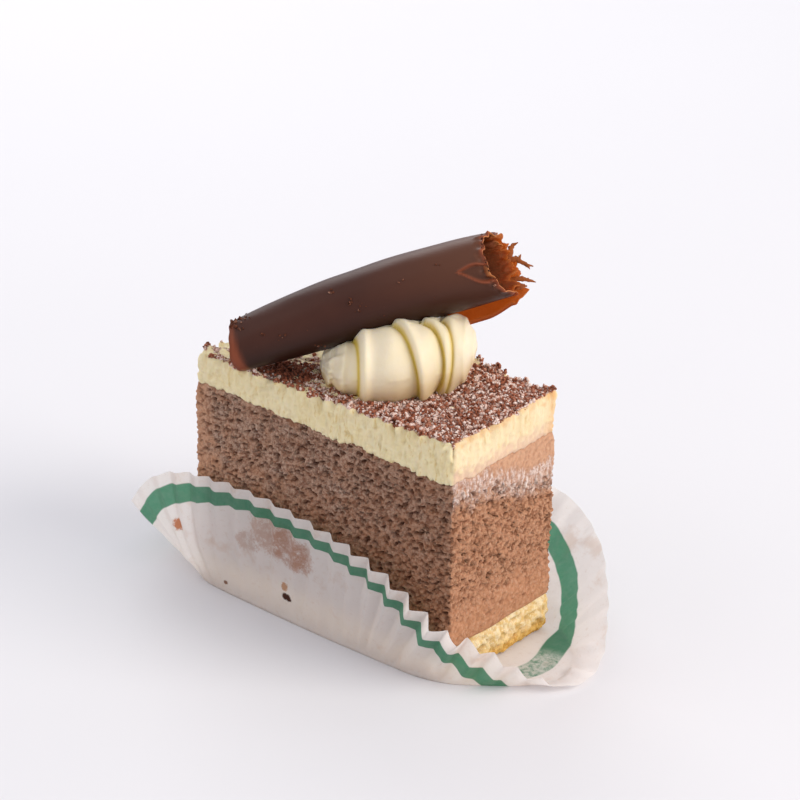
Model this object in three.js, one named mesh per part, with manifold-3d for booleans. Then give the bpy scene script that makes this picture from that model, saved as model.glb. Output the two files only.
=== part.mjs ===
// A rectangular slice of chocolate cheesecake in its pleated paper case.
// Millimetres, +Z up. The slice is long in X and the origin is on the table, under its middle.
// From below: paper case, biscuit base, chocolate mousse, cream layer, a piped swirl of cream,
// and a curled sheet of chocolate that leans across the swirl.

import * as THREE from 'three';
import { mergeVertices } from 'three/addons/utils/BufferGeometryUtils.js';
import Module from 'manifold-3d';

// ---------------------------------------------------------------- driving dimensions

const SLICE_LENGTH = 91;
const SLICE_WIDTH = 42.7;
const BISCUIT_UNDERSIDE = 0.7;
const BISCUIT_TOP = 11.5;
const MOUSSE_TOP = 60.9;
const CREAM_TOP_LOW = 69.4; // at the far short end, -X
const CREAM_TOP_HIGH = 73.3; // at the near short end, +X
const LAYER_GAP = 0.3; // air between two touching layers
const INTERFACE_WAVE = 0.35; // how far the mousse and cream boundary wanders up and down

// Radius of the upright corners: back right, back left, front left, front right.
const BISCUIT_CORNERS = [2, 3, 4, 8.5];
const MOUSSE_CORNERS = [0.9, 0.9, 0.8, 0.8];
const CREAM_CORNERS = [1.4, 1.4, 1, 1.2];

// Relief of the cut sides, as heights, with the size of its bumps beside it.
const SIDE_SWELL = 0.3;
const SIDE_SWELL_SIZE = 19;
const BISCUIT_RELIEF = 0.5;
const BISCUIT_CRUMB_SIZE = 6.5;
const MOUSSE_RELIEF = 0.22;
const MOUSSE_LUMP_SIZE = 5.2;
const CREAM_RELIEF = 0.28;
const CREAM_STROKE_SIZE = 9;
const CREAM_TOP_RELIEF = 0.35;
const CREAM_TOP_SIZE = 12;

// Rows of a layer's side, from its foot to its top: share of the height, and how far it is set in.
const BISCUIT_SIDE = [[0, 0.7], [0.14, 0], [0.4, -0.4], [0.7, -0.2], [0.92, 0.1], [1, 0.6]];
const CREAM_SIDE = [[0, 0.15], [0.3, -0.1], [0.62, -0.05], [0.86, 0.25], [0.97, 0.95]];
const MOUSSE_ROWS = 11;

const LONG_SIDE_STEPS = 21;
const SHORT_SIDE_STEPS = 10;
const CORNER_STEPS = 3;

const PAPER_THICKNESS = 0.35;
const PLEAT_COUNT = 52;
const WALL_ROWS = 6;
const WALL_ROW_SPREAD = 1.15; // above 1, the rows stand closer near the foot
const BASE_RING_SHARE = 0.6; // an inner ring of the flat base

const ROLL_LENGTH = 73;
const ROLL_RADIUS_LOW = 6.9; // outside, at the end that rests on the cream
const ROLL_RADIUS_MIDDLE = 9.3;
const ROLL_RADIUS_HIGH = 9; // outside, at the open end
const ROLL_BOW = 1.1; // how far the middle of the roll arches up
const ROLL_SHEET = 1.1;
const ROLL_FIRST_ANGLE = -231; // degrees, where the sheet starts inside
const ROLL_LAST_ANGLE = 280; // where its outer edge stops at the open end
const ROLL_TUCKED_ANGLE = 250; // and where it stops along the closed part
const ROLL_UNTUCKED = [50, 60]; // along the roll, from the one to the other
const ROLL_TURN_DEPTH = 2.4; // how much deeper the inner turn lies
const ROLL_TURN_RISE = [-125, -65]; // degrees, where the inner turn comes out
const ROLL_LOW_END = new THREE.Vector3(-28.72, -21.94, 77.34);
const ROLL_DIRECTION = new THREE.Vector3(0.743, 0.558, 0.369).normalize();
const ROLL_COLUMNS = 64;
const ROLL_ROWS = 8;
const ROLL_ROW_SPREAD = 1.35; // above 1, the rows stand closer near the ragged end
const FLAP_RISE = 4.5; // how far the torn outer edge hangs away from the roll
const FLAP_ANGLE = 75; // degrees of the sheet that hang
const FLAP_START = [52, 60]; // along the roll, where the flap opens
const FLAP_CLOSE = [66, 78]; // and where it comes back a little
const FLAP_CLOSE_SHARE = 0.55;
const ROLL_CLEARANCE = 0.35;

const RAGGED_END = [ // around the roll in degrees, and how far the sheet runs past its length
  [-90, 4], [-65, 3.2], [-40, 2.4], [-25, 1.5], [0, 0.2], [16, -0.7], [47, -0.7], [72, -0.4], [90, -0.3],
  [104, 1], [122, 2.7], [152, 2.8], [163, 2.4], [172, 6.2], [181, 2.9], [197, 2.9], [209, 3.9], [216, 5],
  [223, 8.1], [230, 4.1], [236, 2.9], [248, 3.5], [257, 7.8], [264, 4.6], [270, 4],
];

const SWIRL_ORIGIN = new THREE.Vector3(2.7, -5, 0);
const SWIRL_MIDDLE = new THREE.Vector2(8.7, 0);
const SWIRL_ROWS = [ // along the roll's direction: half width, top, underside, shift towards the near side
  [-13.6, 0.8, 2.8, 1.2, -4.5],
  [-12.6, 4.4, 6, -1, -3.8],
  [-10.2, 7.2, 8.8, -3, -1.4],
  [-6, 9.6, 13.2, -4, 1.6],
  [0, 11.9, 17, -5, 3.2],
  [7, 12.4, 19.4, -5, 3.6],
  [14, 12, 19.6, -4.5, 2.8],
  [20, 10.8, 19.2, -3, 1],
  [25, 9, 17.6, 0, -0.8],
  [27.6, 5.4, 14, 5, -1.4],
  [28.4, 1, 10.5, 9, -1.6],
];
const SWIRL_CREASES = [ // place on the crest, depth, how far it bends along at half height and at the foot
  [-4.6, 1.6, 2.5, 0],
  [5.6, 1.6, 6, 3.5],
  [13.2, 1.6, 7.2, -0.5],
  [18.5, 1.2, 4.5, -1.5],
];
const SWIRL_CREASE_BEND = 0.3; // below 0.5, a crease turns sharply near the crest
const SWIRL_CREASE_WIDTH = 1.3;
const SWIRL_FOLD_RISE = 0.6; // how far the swirl stands out between the creases
const SWIRL_FULL_WIDTH = 8; // half width from which the creases have their full depth
const SWIRL_RINGS = 34;
const SWIRL_COLUMNS = 28;
const FLAT_UNDER_SWIRL = [25, 34]; // round the swirl, where the top starts to be uneven

// ---------------------------------------------------------------- small tools

const wasm = await Module();
wasm.setup();

// Repeatable random numbers from 0 to 1.
function seededRandom(seed) {
  let state = seed;
  return () => {
    state = (state + 0x6d2b79f5) | 0;
    let t = Math.imul(state ^ (state >>> 15), 1 | state);
    t = (t + Math.imul(t ^ (t >>> 7), 61 | t)) ^ t;
    return ((t ^ (t >>> 14)) >>> 0) / 4294967296;
  };
}

// A smooth bumpy field in space, about -1 to 1, with bumps of the given size in mm.
function bumpField(seed, size, waves = 9) {
  const random = seededRandom(seed);
  const terms = [];
  for (let i = 0; i < waves; i += 1) {
    const azimuth = random() * Math.PI * 2;
    const height = random() * 2 - 1;
    const flat = Math.sqrt(1 - height * height);
    const pitch = (Math.PI * 2) / (size * (0.7 + random() * 1.1));
    terms.push({
      x: Math.cos(azimuth) * flat * pitch,
      y: Math.sin(azimuth) * flat * pitch,
      z: height * pitch,
      phase: random() * Math.PI * 2,
    });
  }
  const scale = Math.sqrt(2 / waves) * 0.8;
  return (x, y, z) => {
    let sum = 0;
    for (const term of terms) {
      sum += Math.sin(term.x * x + term.y * y + term.z * z + term.phase);
    }
    return sum * scale;
  };
}

function smoothstep(low, high, value) {
  return THREE.MathUtils.smoothstep(value, low, high);
}

// Blend through (place, value) rows in order of place.
function rowsAt(rows, place) {
  let i = 0;
  while (i < rows.length - 2 && place > rows[i + 1][0]) {
    i += 1;
  }
  const [from, a] = rows[i];
  const [to, b] = rows[i + 1];
  return a + (b - a) * smoothstep(from, to, place);
}

// A closed surface from rings of equal length, with a pole before the first and after the last.
// From row `flipFrom` on, the quads are split along their other diagonal.
function shellOfRings(firstPole, rings, lastPole, flipFrom = Infinity) {
  const count = rings[0].length;
  const positions = [firstPole, ...rings.flat(), lastPole].flatMap((p) => [p.x, p.y, p.z]);
  const at = (row, column) => 1 + row * count + (column % count);
  const last = 1 + rings.length * count;
  const index = [];
  for (let j = 0; j < count; j += 1) {
    index.push(0, at(0, j + 1), at(0, j));
    for (let i = 0; i < rings.length - 1; i += 1) {
      const [a, b, c, d] = [at(i, j), at(i, j + 1), at(i + 1, j + 1), at(i + 1, j)];
      if (i < flipFrom) {
        index.push(a, b, c, a, c, d);
      } else {
        index.push(a, b, d, b, c, d);
      }
    }
    index.push(at(rings.length - 1, j), at(rings.length - 1, j + 1), last);
  }
  return indexedGeometry(positions, index);
}

function indexedGeometry(positions, index) {
  const geometry = new THREE.BufferGeometry();
  geometry.setAttribute('position', new THREE.Float32BufferAttribute(positions, 3));
  geometry.setIndex(index);
  return geometry;
}

function manifoldOf(geometry) {
  const bare = geometry.clone();
  bare.deleteAttribute('normal');
  bare.deleteAttribute('uv');
  const merged = mergeVertices(bare, 1e-4);
  return new wasm.Manifold(new wasm.Mesh({
    numProp: 3,
    vertProperties: Float32Array.from(merged.attributes.position.array),
    triVerts: Uint32Array.from(merged.index.array),
  }));
}

// The largest body of a solid, as a three.js geometry.
function geometryOf(solid) {
  const bodies = solid.decompose().sort((a, b) => b.volume() - a.volume());
  const mesh = bodies[0].getMesh();
  const positions = [];
  for (let i = 0; i < mesh.numVert; i += 1) {
    positions.push(...mesh.vertProperties.slice(i * mesh.numProp, i * mesh.numProp + 3));
  }
  return indexedGeometry(positions, Array.from(mesh.triVerts));
}

function finish(name, geometry, color, roughness) {
  const flat = geometry.index ? geometry.toNonIndexed() : geometry;
  flat.computeVertexNormals();
  const material = new THREE.MeshStandardMaterial({ color, roughness, metalness: 0 });
  const mesh = new THREE.Mesh(flat, material);
  mesh.name = name;
  return mesh;
}

// ---------------------------------------------------------------- the cut block

const SIDE_HALF_X = SLICE_LENGTH / 2;
const SIDE_HALF_Y = SLICE_WIDTH / 2;

// One ring round the slice: a rectangle with its own radius at each corner. Each point has its
// outward direction beside it. Rings of all layers have the same number of points.
function blockRing(radii) {
  const signs = [[1, 1], [-1, 1], [-1, -1], [1, -1]];
  const sideDirections = [[0, 1], [-1, 0], [0, -1], [1, 0]];
  const points = [];
  signs.forEach(([sx, sy], corner) => {
    const radius = radii[corner];
    const centre = new THREE.Vector2(sx * (SIDE_HALF_X - radius), sy * (SIDE_HALF_Y - radius));
    const diagonal = new THREE.Vector2(sx, sy).normalize();
    for (let k = 0; k <= CORNER_STEPS; k += 1) {
      const angle = (corner + k / CORNER_STEPS) * (Math.PI / 2);
      const arm = new THREE.Vector2(Math.cos(angle), Math.sin(angle)).multiplyScalar(radius);
      points.push({ at: arm.add(centre), out: diagonal });
    }
    const [nextX, nextY] = signs[(corner + 1) % 4];
    const nextRadius = radii[(corner + 1) % 4];
    const alongX = corner % 2 === 0;
    const to = alongX
      ? new THREE.Vector2(nextX * (SIDE_HALF_X - nextRadius), nextY * SIDE_HALF_Y)
      : new THREE.Vector2(nextX * SIDE_HALF_X, nextY * (SIDE_HALF_Y - nextRadius));
    const from = points[points.length - 1].at;
    const out = new THREE.Vector2(...sideDirections[corner]);
    const steps = alongX ? LONG_SIDE_STEPS : SHORT_SIDE_STEPS;
    for (let k = 1; k < steps; k += 1) {
      points.push({ at: from.clone().lerp(to, k / steps), out });
    }
  });
  return points;
}

// A ring of the side, with its height and its relief given as functions.
function sideRing(radii, heightAt, reliefAt) {
  return blockRing(radii).map(({ at, out }) => {
    const z = heightAt(at.x, at.y);
    const relief = reliefAt(at.x, at.y, z);
    return new THREE.Vector3(at.x + out.x * relief, at.y + out.y * relief, z);
  });
}

const sideSwells = bumpField(37, SIDE_SWELL_SIZE, 6);
const interfaceBumps = bumpField(11, 17, 7);

// The wandering height where the mousse meets the cream.
function interfaceHeight(x, y) {
  return MOUSSE_TOP + INTERFACE_WAVE * interfaceBumps(x, y, 0);
}

function creamTopPlane(x) {
  return CREAM_TOP_LOW + (CREAM_TOP_HIGH - CREAM_TOP_LOW) * (x / SLICE_LENGTH + 0.5);
}

// A ring drawn in towards the middle of the slice, at heights given by a function.
function innerRing(outer, scale, heightAt) {
  return outer.map((p) => new THREE.Vector3(p.x * scale, p.y * scale, heightAt(p.x * scale, p.y * scale)));
}

function biscuitBase() {
  const crumbs = bumpField(23, BISCUIT_CRUMB_SIZE, 12);
  const squash = 1.6; // crumbs are flatter than they are wide
  const top = BISCUIT_TOP - LAYER_GAP;
  const rings = BISCUIT_SIDE.map(([share, inset]) => sideRing(
    BISCUIT_CORNERS,
    () => THREE.MathUtils.lerp(BISCUIT_UNDERSIDE, top, share),
    (x, y, z) => {
      const edge = share === 0 || share === 1 ? 0.5 : 1;
      return BISCUIT_RELIEF * edge * crumbs(x, y, z * squash) - inset;
    },
  ));
  const middle = (z) => new THREE.Vector3(0, 0, z);
  return shellOfRings(middle(BISCUIT_UNDERSIDE), rings, middle(top));
}

function chocolateMousse() {
  const lumps = bumpField(31, MOUSSE_LUMP_SIZE, 14);
  const topAt = (x, y) => interfaceHeight(x, y) - LAYER_GAP / 2;
  const rings = [];
  for (let row = 0; row <= MOUSSE_ROWS; row += 1) {
    const share = row / MOUSSE_ROWS;
    // the lowest part was pressed smooth, and the edges are less rough than the rest
    const rough = 0.4 + 0.6 * smoothstep(0.02, 0.3, share);
    const edge = row === 0 || row === MOUSSE_ROWS ? 0.4 : 1;
    rings.push(sideRing(
      MOUSSE_CORNERS,
      (x, y) => THREE.MathUtils.lerp(BISCUIT_TOP, topAt(x, y), share),
      (x, y, z) => SIDE_SWELL * sideSwells(x, y, z) + MOUSSE_RELIEF * edge * rough * lumps(x, y, z),
    ));
  }
  const rim = rings[rings.length - 1];
  const upper = [0.9, 0.6].map((scale) => innerRing(rim, scale, topAt));
  return shellOfRings(
    new THREE.Vector3(0, 0, BISCUIT_TOP),
    [...rings, ...upper],
    new THREE.Vector3(0, 0, topAt(0, 0)),
  );
}

function creamLayer() {
  const strokes = bumpField(43, CREAM_STROKE_SIZE, 9);
  const strokeStretch = 0.3; // strokes of the knife run up and down
  const topBumps = bumpField(47, CREAM_TOP_SIZE, 9);
  const bottomAt = (x, y) => interfaceHeight(x, y) + LAYER_GAP / 2;
  const topAt = (x, y) => {
    const fromSwirl = Math.hypot(x - SWIRL_MIDDLE.x, y - SWIRL_MIDDLE.y);
    return creamTopPlane(x) + CREAM_TOP_RELIEF * topBumps(x, y, 0) * smoothstep(...FLAT_UNDER_SWIRL, fromSwirl);
  };
  const rings = CREAM_SIDE.map(([share, inset]) => sideRing(
    CREAM_CORNERS,
    (x, y) => THREE.MathUtils.lerp(bottomAt(x, y), creamTopPlane(x), share),
    (x, y, z) => SIDE_SWELL * sideSwells(x, y, z) + CREAM_RELIEF * strokes(x, y, z * strokeStretch) - inset,
  ));
  const lower = [0.6, 0.9].map((scale) => innerRing(rings[0], scale, bottomAt));
  const upper = [0.955, 0.84, 0.62, 0.34].map((scale) => innerRing(rings[rings.length - 1], scale, topAt));
  return shellOfRings(
    new THREE.Vector3(0, 0, bottomAt(0, 0)),
    [...lower, ...rings, ...upper],
    new THREE.Vector3(0, 0, topAt(0, 0)),
  );
}

// ---------------------------------------------------------------- the curled chocolate

// Directions square to the roll: across, towards the near side, and up.
const ROLL_ACROSS = new THREE.Vector3().crossVectors(ROLL_DIRECTION, new THREE.Vector3(0, 0, 1)).normalize();
const ROLL_UP = new THREE.Vector3().crossVectors(ROLL_ACROSS, ROLL_DIRECTION);

function rollRadius(along) {
  const t = THREE.MathUtils.clamp(along / ROLL_LENGTH, 0, 1);
  return ROLL_RADIUS_LOW * (1 - t) * (1 - 2 * t)
    + ROLL_RADIUS_MIDDLE * 4 * t * (1 - t)
    + ROLL_RADIUS_HIGH * t * (2 * t - 1);
}

function rollBow(along) {
  const t = along / ROLL_LENGTH;
  return ROLL_BOW * 4 * t * (1 - t);
}

// A point of the roll from its distance along, its angle (0 = near side, 90 = top) and its radius.
function rollPoint(along, degrees, radius) {
  const angle = THREE.MathUtils.degToRad(degrees);
  return ROLL_LOW_END.clone()
    .addScaledVector(ROLL_DIRECTION, along)
    .addScaledVector(ROLL_ACROSS, radius * Math.cos(angle))
    .addScaledVector(ROLL_UP, radius * Math.sin(angle) + rollBow(along));
}

// How far the sheet hangs away from the roll: only near its outer edge and at the high end.
function flapLift(along, degrees) {
  const nearEdge = smoothstep(ROLL_LAST_ANGLE - FLAP_ANGLE, ROLL_LAST_ANGLE, degrees);
  const reach = smoothstep(...FLAP_START, along) * (1 - FLAP_CLOSE_SHARE * smoothstep(...FLAP_CLOSE, along));
  return FLAP_RISE * nearEdge * reach;
}

// Where the sheet ends along the roll: ragged, torn once on the near side, longest on the far side.
function rollEnd(degrees) {
  const around = ((((degrees + 90) % 360) + 360) % 360) - 90;
  let i = 0;
  while (i < RAGGED_END.length - 2 && around > RAGGED_END[i + 1][0]) {
    i += 1;
  }
  const [from, a] = RAGGED_END[i];
  const [to, b] = RAGGED_END[i + 1];
  return ROLL_LENGTH + THREE.MathUtils.lerp(a, b, THREE.MathUtils.clamp((around - from) / (to - from), 0, 1));
}

// The sheet as a solid, made thicker and longer by `extra` to serve as the room it needs.
function chocolateSheet(extra) {
  const extraAngle = THREE.MathUtils.radToDeg(extra / ROLL_RADIUS_LOW);
  const first = ROLL_FIRST_ANGLE - extraAngle;
  const last = ROLL_LAST_ANGLE + extraAngle;
  const tucked = ROLL_TUCKED_ANGLE + extraAngle;
  const outer = [];
  const inner = [];
  for (let row = 0; row <= ROLL_ROWS; row += 1) {
    const share = 1 - (1 - row / ROLL_ROWS) ** ROLL_ROW_SPREAD;
    const outerRow = [];
    const innerRow = [];
    for (let column = 0; column <= ROLL_COLUMNS; column += 1) {
      const round = column / ROLL_COLUMNS;
      const end = rollEnd(THREE.MathUtils.lerp(first, last, round)) + extra;
      const along = THREE.MathUtils.lerp(-extra, end, share);
      const edge = THREE.MathUtils.lerp(tucked, last, smoothstep(...ROLL_UNTUCKED, along));
      const degrees = THREE.MathUtils.lerp(first, edge, round);
      const turnIn = ROLL_TURN_DEPTH * (1 - smoothstep(...ROLL_TURN_RISE, degrees));
      const middle = rollRadius(along) - ROLL_SHEET / 2 - turnIn + flapLift(along, degrees);
      outerRow.push(rollPoint(along, degrees, middle + ROLL_SHEET / 2 + extra));
      innerRow.push(rollPoint(along, degrees, middle - ROLL_SHEET / 2 - extra));
    }
    outer.push(outerRow);
    inner.push(innerRow);
  }
  return sheetSolid(outer, inner);
}

// A closed solid between two like grids of points, both split into triangles alike.
function sheetSolid(upper, lower) {
  const rows = upper.length;
  const columns = upper[0].length;
  const positions = [...upper.flat(), ...lower.flat()].flatMap((p) => [p.x, p.y, p.z]);
  const at = (side, row, column) => side * rows * columns + row * columns + column;
  const index = [];
  for (let i = 0; i < rows - 1; i += 1) {
    for (let j = 0; j < columns - 1; j += 1) {
      for (const side of [0, 1]) {
        const quad = [at(side, i, j), at(side, i + 1, j), at(side, i + 1, j + 1), at(side, i, j + 1)];
        const [a, b, c, d] = side === 0 ? quad : [quad[0], quad[3], quad[2], quad[1]];
        index.push(a, b, c, a, c, d);
      }
    }
  }
  const wall = (a, b) => {
    const [u0, u1, l0, l1] = [at(0, ...a), at(0, ...b), at(1, ...a), at(1, ...b)];
    index.push(u0, l1, l0, u0, u1, l1);
  };
  for (let j = 0; j < columns - 1; j += 1) {
    wall([0, j], [0, j + 1]);
    wall([rows - 1, j + 1], [rows - 1, j]);
  }
  for (let i = 0; i < rows - 1; i += 1) {
    wall([i + 1, 0], [i, 0]);
    wall([i, columns - 1], [i + 1, columns - 1]);
  }
  return indexedGeometry(positions, index);
}

// The room that the roll needs in the cream: a closed form a little wider than the roll.
function rollRoom() {
  const steps = 10;
  const sides = 36;
  const rings = [];
  for (let i = 0; i <= steps; i += 1) {
    const along = -ROLL_CLEARANCE + ((ROLL_LENGTH + ROLL_CLEARANCE) * i) / steps;
    const ring = [];
    for (let j = 0; j < sides; j += 1) {
      ring.push(rollPoint(along, (-j / sides) * 360, rollRadius(along) + ROLL_CLEARANCE));
    }
    rings.push(ring);
  }
  const centre = (along) => rollPoint(along, 0, 0);
  return manifoldOf(shellOfRings(centre(-ROLL_CLEARANCE), rings, centre(ROLL_LENGTH)));
}

// ---------------------------------------------------------------- the piped swirl

// How far the swirl stands out at a place along it, and at a height from -1 at its foot to 1 on its
// crest. The creases are bowed, so they reach furthest along at half height.
function foldSwell(place, up) {
  const bow = Math.max(0, 1 - up * up) ** SWIRL_CREASE_BEND;
  const cuts = SWIRL_CREASES.map(([where, depth, bend, footBend]) => {
    const away = place - where - bend * bow - (footBend * (1 - up)) / 2;
    return depth * Math.exp(-((away / SWIRL_CREASE_WIDTH) ** 2));
  });
  return SWIRL_FOLD_RISE - Math.max(...cuts);
}

function pipedCream() {
  const along = new THREE.Vector3(ROLL_DIRECTION.x, ROLL_DIRECTION.y, 0).normalize();
  const first = SWIRL_ROWS[0][0];
  const last = SWIRL_ROWS[SWIRL_ROWS.length - 1][0];
  const place = (s, across, z) => SWIRL_ORIGIN.clone()
    .addScaledVector(along, s)
    .addScaledVector(ROLL_ACROSS, across)
    .setZ(creamTopPlane(SWIRL_ORIGIN.x + along.x * s) + z);
  const rowAt = (s) => [1, 2, 3, 4].map((k) => rowsAt(SWIRL_ROWS.map((row) => [row[0], row[k]]), s));
  const rings = [];
  for (let row = 0; row <= SWIRL_RINGS; row += 1) {
    const s = THREE.MathUtils.lerp(first, last, row / SWIRL_RINGS);
    const [width, top, underside, shift] = rowAt(s);
    const middle = (top + underside) / 2;
    const ring = [];
    for (let column = 0; column < SWIRL_COLUMNS; column += 1) {
      const angle = -(column / SWIRL_COLUMNS) * Math.PI * 2;
      const up = Math.sin(angle);
      const swell = foldSwell(s, up) * Math.min(1, width / SWIRL_FULL_WIDTH);
      const across = shift + Math.cos(angle) * (width + swell);
      ring.push(place(s, across, middle + up * (top - middle + swell)));
    }
    rings.push(ring);
  }
  const pole = (s) => {
    const [, top, underside, shift] = rowAt(s);
    return place(s + Math.sign(s) * 0.3, shift, (top + underside) / 2);
  };
  return shellOfRings(pole(first), rings, pole(last));
}

// Everything below the sloping top of the cream layer, to cut the foot of the swirl.
function belowCream() {
  const depth = 40;
  const box = new THREE.BoxGeometry(SLICE_LENGTH, SLICE_WIDTH * 2, depth);
  box.translate(0, 0, LAYER_GAP - depth / 2);
  box.rotateY(-Math.atan2(CREAM_TOP_HIGH - CREAM_TOP_LOW, SLICE_LENGTH));
  box.translate(0, 0, (CREAM_TOP_LOW + CREAM_TOP_HIGH) / 2);
  return manifoldOf(box);
}

// ---------------------------------------------------------------- the pleated paper case

// Stations round the case, anticlockwise from the far short end. Each row is where the paper
// leaves the table (x, y), where its rim is (x, y, z), and half the height of a pleat at the rim.
// The case was pulled open by hand: upright along the slice, flat on the table at the near end.
const CASE_STATIONS = [
  [-47.3, 0, -68, 0, 11, 0.7],
  [-46.8, -17.5, -66.5, -24.6, 17, 0.8],
  [-44.5, -20.8, -60.5, -24.8, 26, 0.9],
  [-41, -22.4, -51.5, -24, 31.3, 0.9],
  [-34, -23.1, -38, -24.2, 34.3, 0.9],
  [-20, -23.4, -20.5, -24.4, 35.5, 1.0],
  [-4, -23.5, -1.5, -25, 34.6, 1.1],
  [8, -23.4, 11, -26.3, 33.6, 1.3],
  [14, -23.2, 22.5, -27.6, 32, 1.6],
  [20, -23, 33, -27.7, 27.8, 1.9],
  [28, -22.7, 42.3, -26.4, 21.3, 2.2],
  [36, -22, 48.2, -24.6, 17.3, 2.3],
  [44, -19.3, 52.3, -18.4, 13.8, 2.1],
  [51.5, -13.8, 58, -14.5, 10, 1.6],
  [59, -7.2, 64, -8.8, 4.6, 0.8],
  [63.5, -1, 70, -2, 1.6, 0.3],
  [64, 5, 72, 5, 1.4, 0.25],
  [61, 12, 70.3, 13, 2.8, 0.3],
  [56, 18, 65.5, 21.5, 7, 0.45],
  [48, 22.8, 58, 31, 12.5, 0.5],
  [38, 24, 45.5, 43, 18, 0.5],
  [22, 24, 28, 50, 23, 0.6],
  [0, 24, 2, 44, 27.5, 0.7],
  [-22, 24, -25, 42, 27.5, 0.8],
  [-42.5, 23.3, -50, 37.5, 24, 0.8],
  [-47.3, 18, -64, 23, 15, 0.7],
];

function caseCurves() {
  const foot = CASE_STATIONS.map(([x, y]) => new THREE.Vector3(x, y, 0));
  const rim = CASE_STATIONS.map(([, , x, y, z]) => new THREE.Vector3(x, y, z));
  const depth = CASE_STATIONS.map((row) => new THREE.Vector3(row[5], 0, 0));
  return {
    foot: new THREE.CatmullRomCurve3(foot, true, 'centripetal'),
    rim: new THREE.CatmullRomCurve3(rim, true, 'centripetal'),
    depth: new THREE.CatmullRomCurve3(depth, true, 'catmullrom'),
  };
}

// Places round the case that are evenly spaced along its rim.
function evenPlaces(curve, count) {
  const fine = 1500;
  const lengths = [0];
  let before = curve.getPoint(0);
  for (let i = 1; i <= fine; i += 1) {
    const now = curve.getPoint(i / fine);
    lengths.push(lengths[i - 1] + now.distanceTo(before));
    before = now;
  }
  const places = [];
  let i = 0;
  for (let k = 0; k < count; k += 1) {
    const wanted = (k / count) * lengths[fine];
    while (lengths[i + 1] < wanted) {
      i += 1;
    }
    places.push((i + (wanted - lengths[i]) / (lengths[i + 1] - lengths[i])) / fine);
  }
  return places;
}

function paperCase() {
  const { foot, rim, depth: pleatDepth } = caseCurves();
  const places = evenPlaces(rim, PLEAT_COUNT * 2);
  const wallPoint = (place, share) => foot.getPoint(place % 1).lerp(rim.getPoint(place % 1), share);
  const step = 0.002; // of the way round, to feel the direction of the wall
  const wallNormal = (place, share) => {
    const around = wallPoint(place + step, share).sub(wallPoint(place + 1 - step, share));
    const up = wallPoint(place, 1).sub(wallPoint(place, 0));
    return new THREE.Vector3().crossVectors(up, around).normalize();
  };
  const half = PAPER_THICKNESS / 2;
  const under = [];
  const over = [];
  for (let row = 0; row <= WALL_ROWS; row += 1) {
    const share = (row / WALL_ROWS) ** WALL_ROW_SPREAD;
    const underRow = [];
    const overRow = [];
    places.forEach((place, column) => {
      const depth = share * pleatDepth.getPoint(place % 1).x;
      const inward = wallNormal(place, share);
      const middle = wallPoint(place, share);
      // where the wall lies flat, its pleats stand on the table
      middle.z += half + depth * inward.z;
      middle.addScaledVector(inward, depth * (column % 2 === 0 ? 1 : -1));
      const offset = row === 0 ? new THREE.Vector3(0, 0, half) : inward.clone().multiplyScalar(half);
      underRow.push(middle.clone().sub(offset));
      overRow.push(middle.clone().add(offset));
    });
    under.push(underRow);
    over.push(overRow);
  }
  const baseRing = (ring) => innerRing(ring, BASE_RING_SHARE, () => ring[0].z);
  const rings = [baseRing(under[0]), ...under, ...over.reverse(), baseRing(over[over.length - 1])];
  const flipFrom = 1 + under.length;
  return shellOfRings(new THREE.Vector3(0, 0, 0), rings, new THREE.Vector3(0, 0, PAPER_THICKNESS), flipFrom);
}

// ---------------------------------------------------------------- the whole slice

const roomForRoll = rollRoom();
const roomForSheet = manifoldOf(chocolateSheet(ROLL_CLEARANCE));
const creamSolid = manifoldOf(creamLayer()).subtract(roomForRoll);
const swirlSolid = manifoldOf(pipedCream())
  .subtract(belowCream())
  .subtract(roomForRoll)
  .subtract(roomForSheet);

const slice = new THREE.Group();
slice.add(
  finish('paper_case', paperCase(), 0xe9e3df, 0.75),
  finish('biscuit_base', biscuitBase(), 0xd9a85c, 0.9),
  finish('chocolate_mousse', chocolateMousse(), 0x94684e, 0.85),
  finish('cream_layer', geometryOf(creamSolid), 0xeadcb8, 0.6),
  finish('piped_cream', geometryOf(swirlSolid), 0xefe2bd, 0.5),
  finish('chocolate_roll', chocolateSheet(0), 0x3a2019, 0.45),
);

export default slice;
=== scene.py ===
# %% Load the solids
import math
from functools import partial

import bpy
import numpy as np
from mathutils import Matrix, Vector


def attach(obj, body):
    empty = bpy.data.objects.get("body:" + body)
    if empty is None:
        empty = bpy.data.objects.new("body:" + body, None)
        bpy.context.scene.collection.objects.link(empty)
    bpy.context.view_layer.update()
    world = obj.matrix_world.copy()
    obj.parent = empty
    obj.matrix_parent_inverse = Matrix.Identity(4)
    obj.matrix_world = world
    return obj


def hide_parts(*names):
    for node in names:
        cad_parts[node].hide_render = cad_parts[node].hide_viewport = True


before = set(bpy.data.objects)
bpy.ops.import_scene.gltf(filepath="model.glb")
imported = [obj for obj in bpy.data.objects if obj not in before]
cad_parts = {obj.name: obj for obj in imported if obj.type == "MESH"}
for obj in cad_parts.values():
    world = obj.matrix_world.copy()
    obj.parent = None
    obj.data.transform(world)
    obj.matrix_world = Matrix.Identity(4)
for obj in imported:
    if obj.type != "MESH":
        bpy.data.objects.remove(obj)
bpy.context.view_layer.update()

print("solids:", sorted(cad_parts))

# %% [markdown]
# # A slice of chocolate cheesecake in its paper case
# The slice is a block with four cut sides: a crumbly biscuit base, a porous chocolate mousse and a
# layer of cream cheese dusted with cocoa. A swirl of cream is piped on it, and a curled sheet of dark
# chocolate leans over the swirl. A pleated paper case, pulled open by hand, stands round its foot.
# Everything below is worked out in millimetres and turned into metres when a mesh is made.

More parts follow.
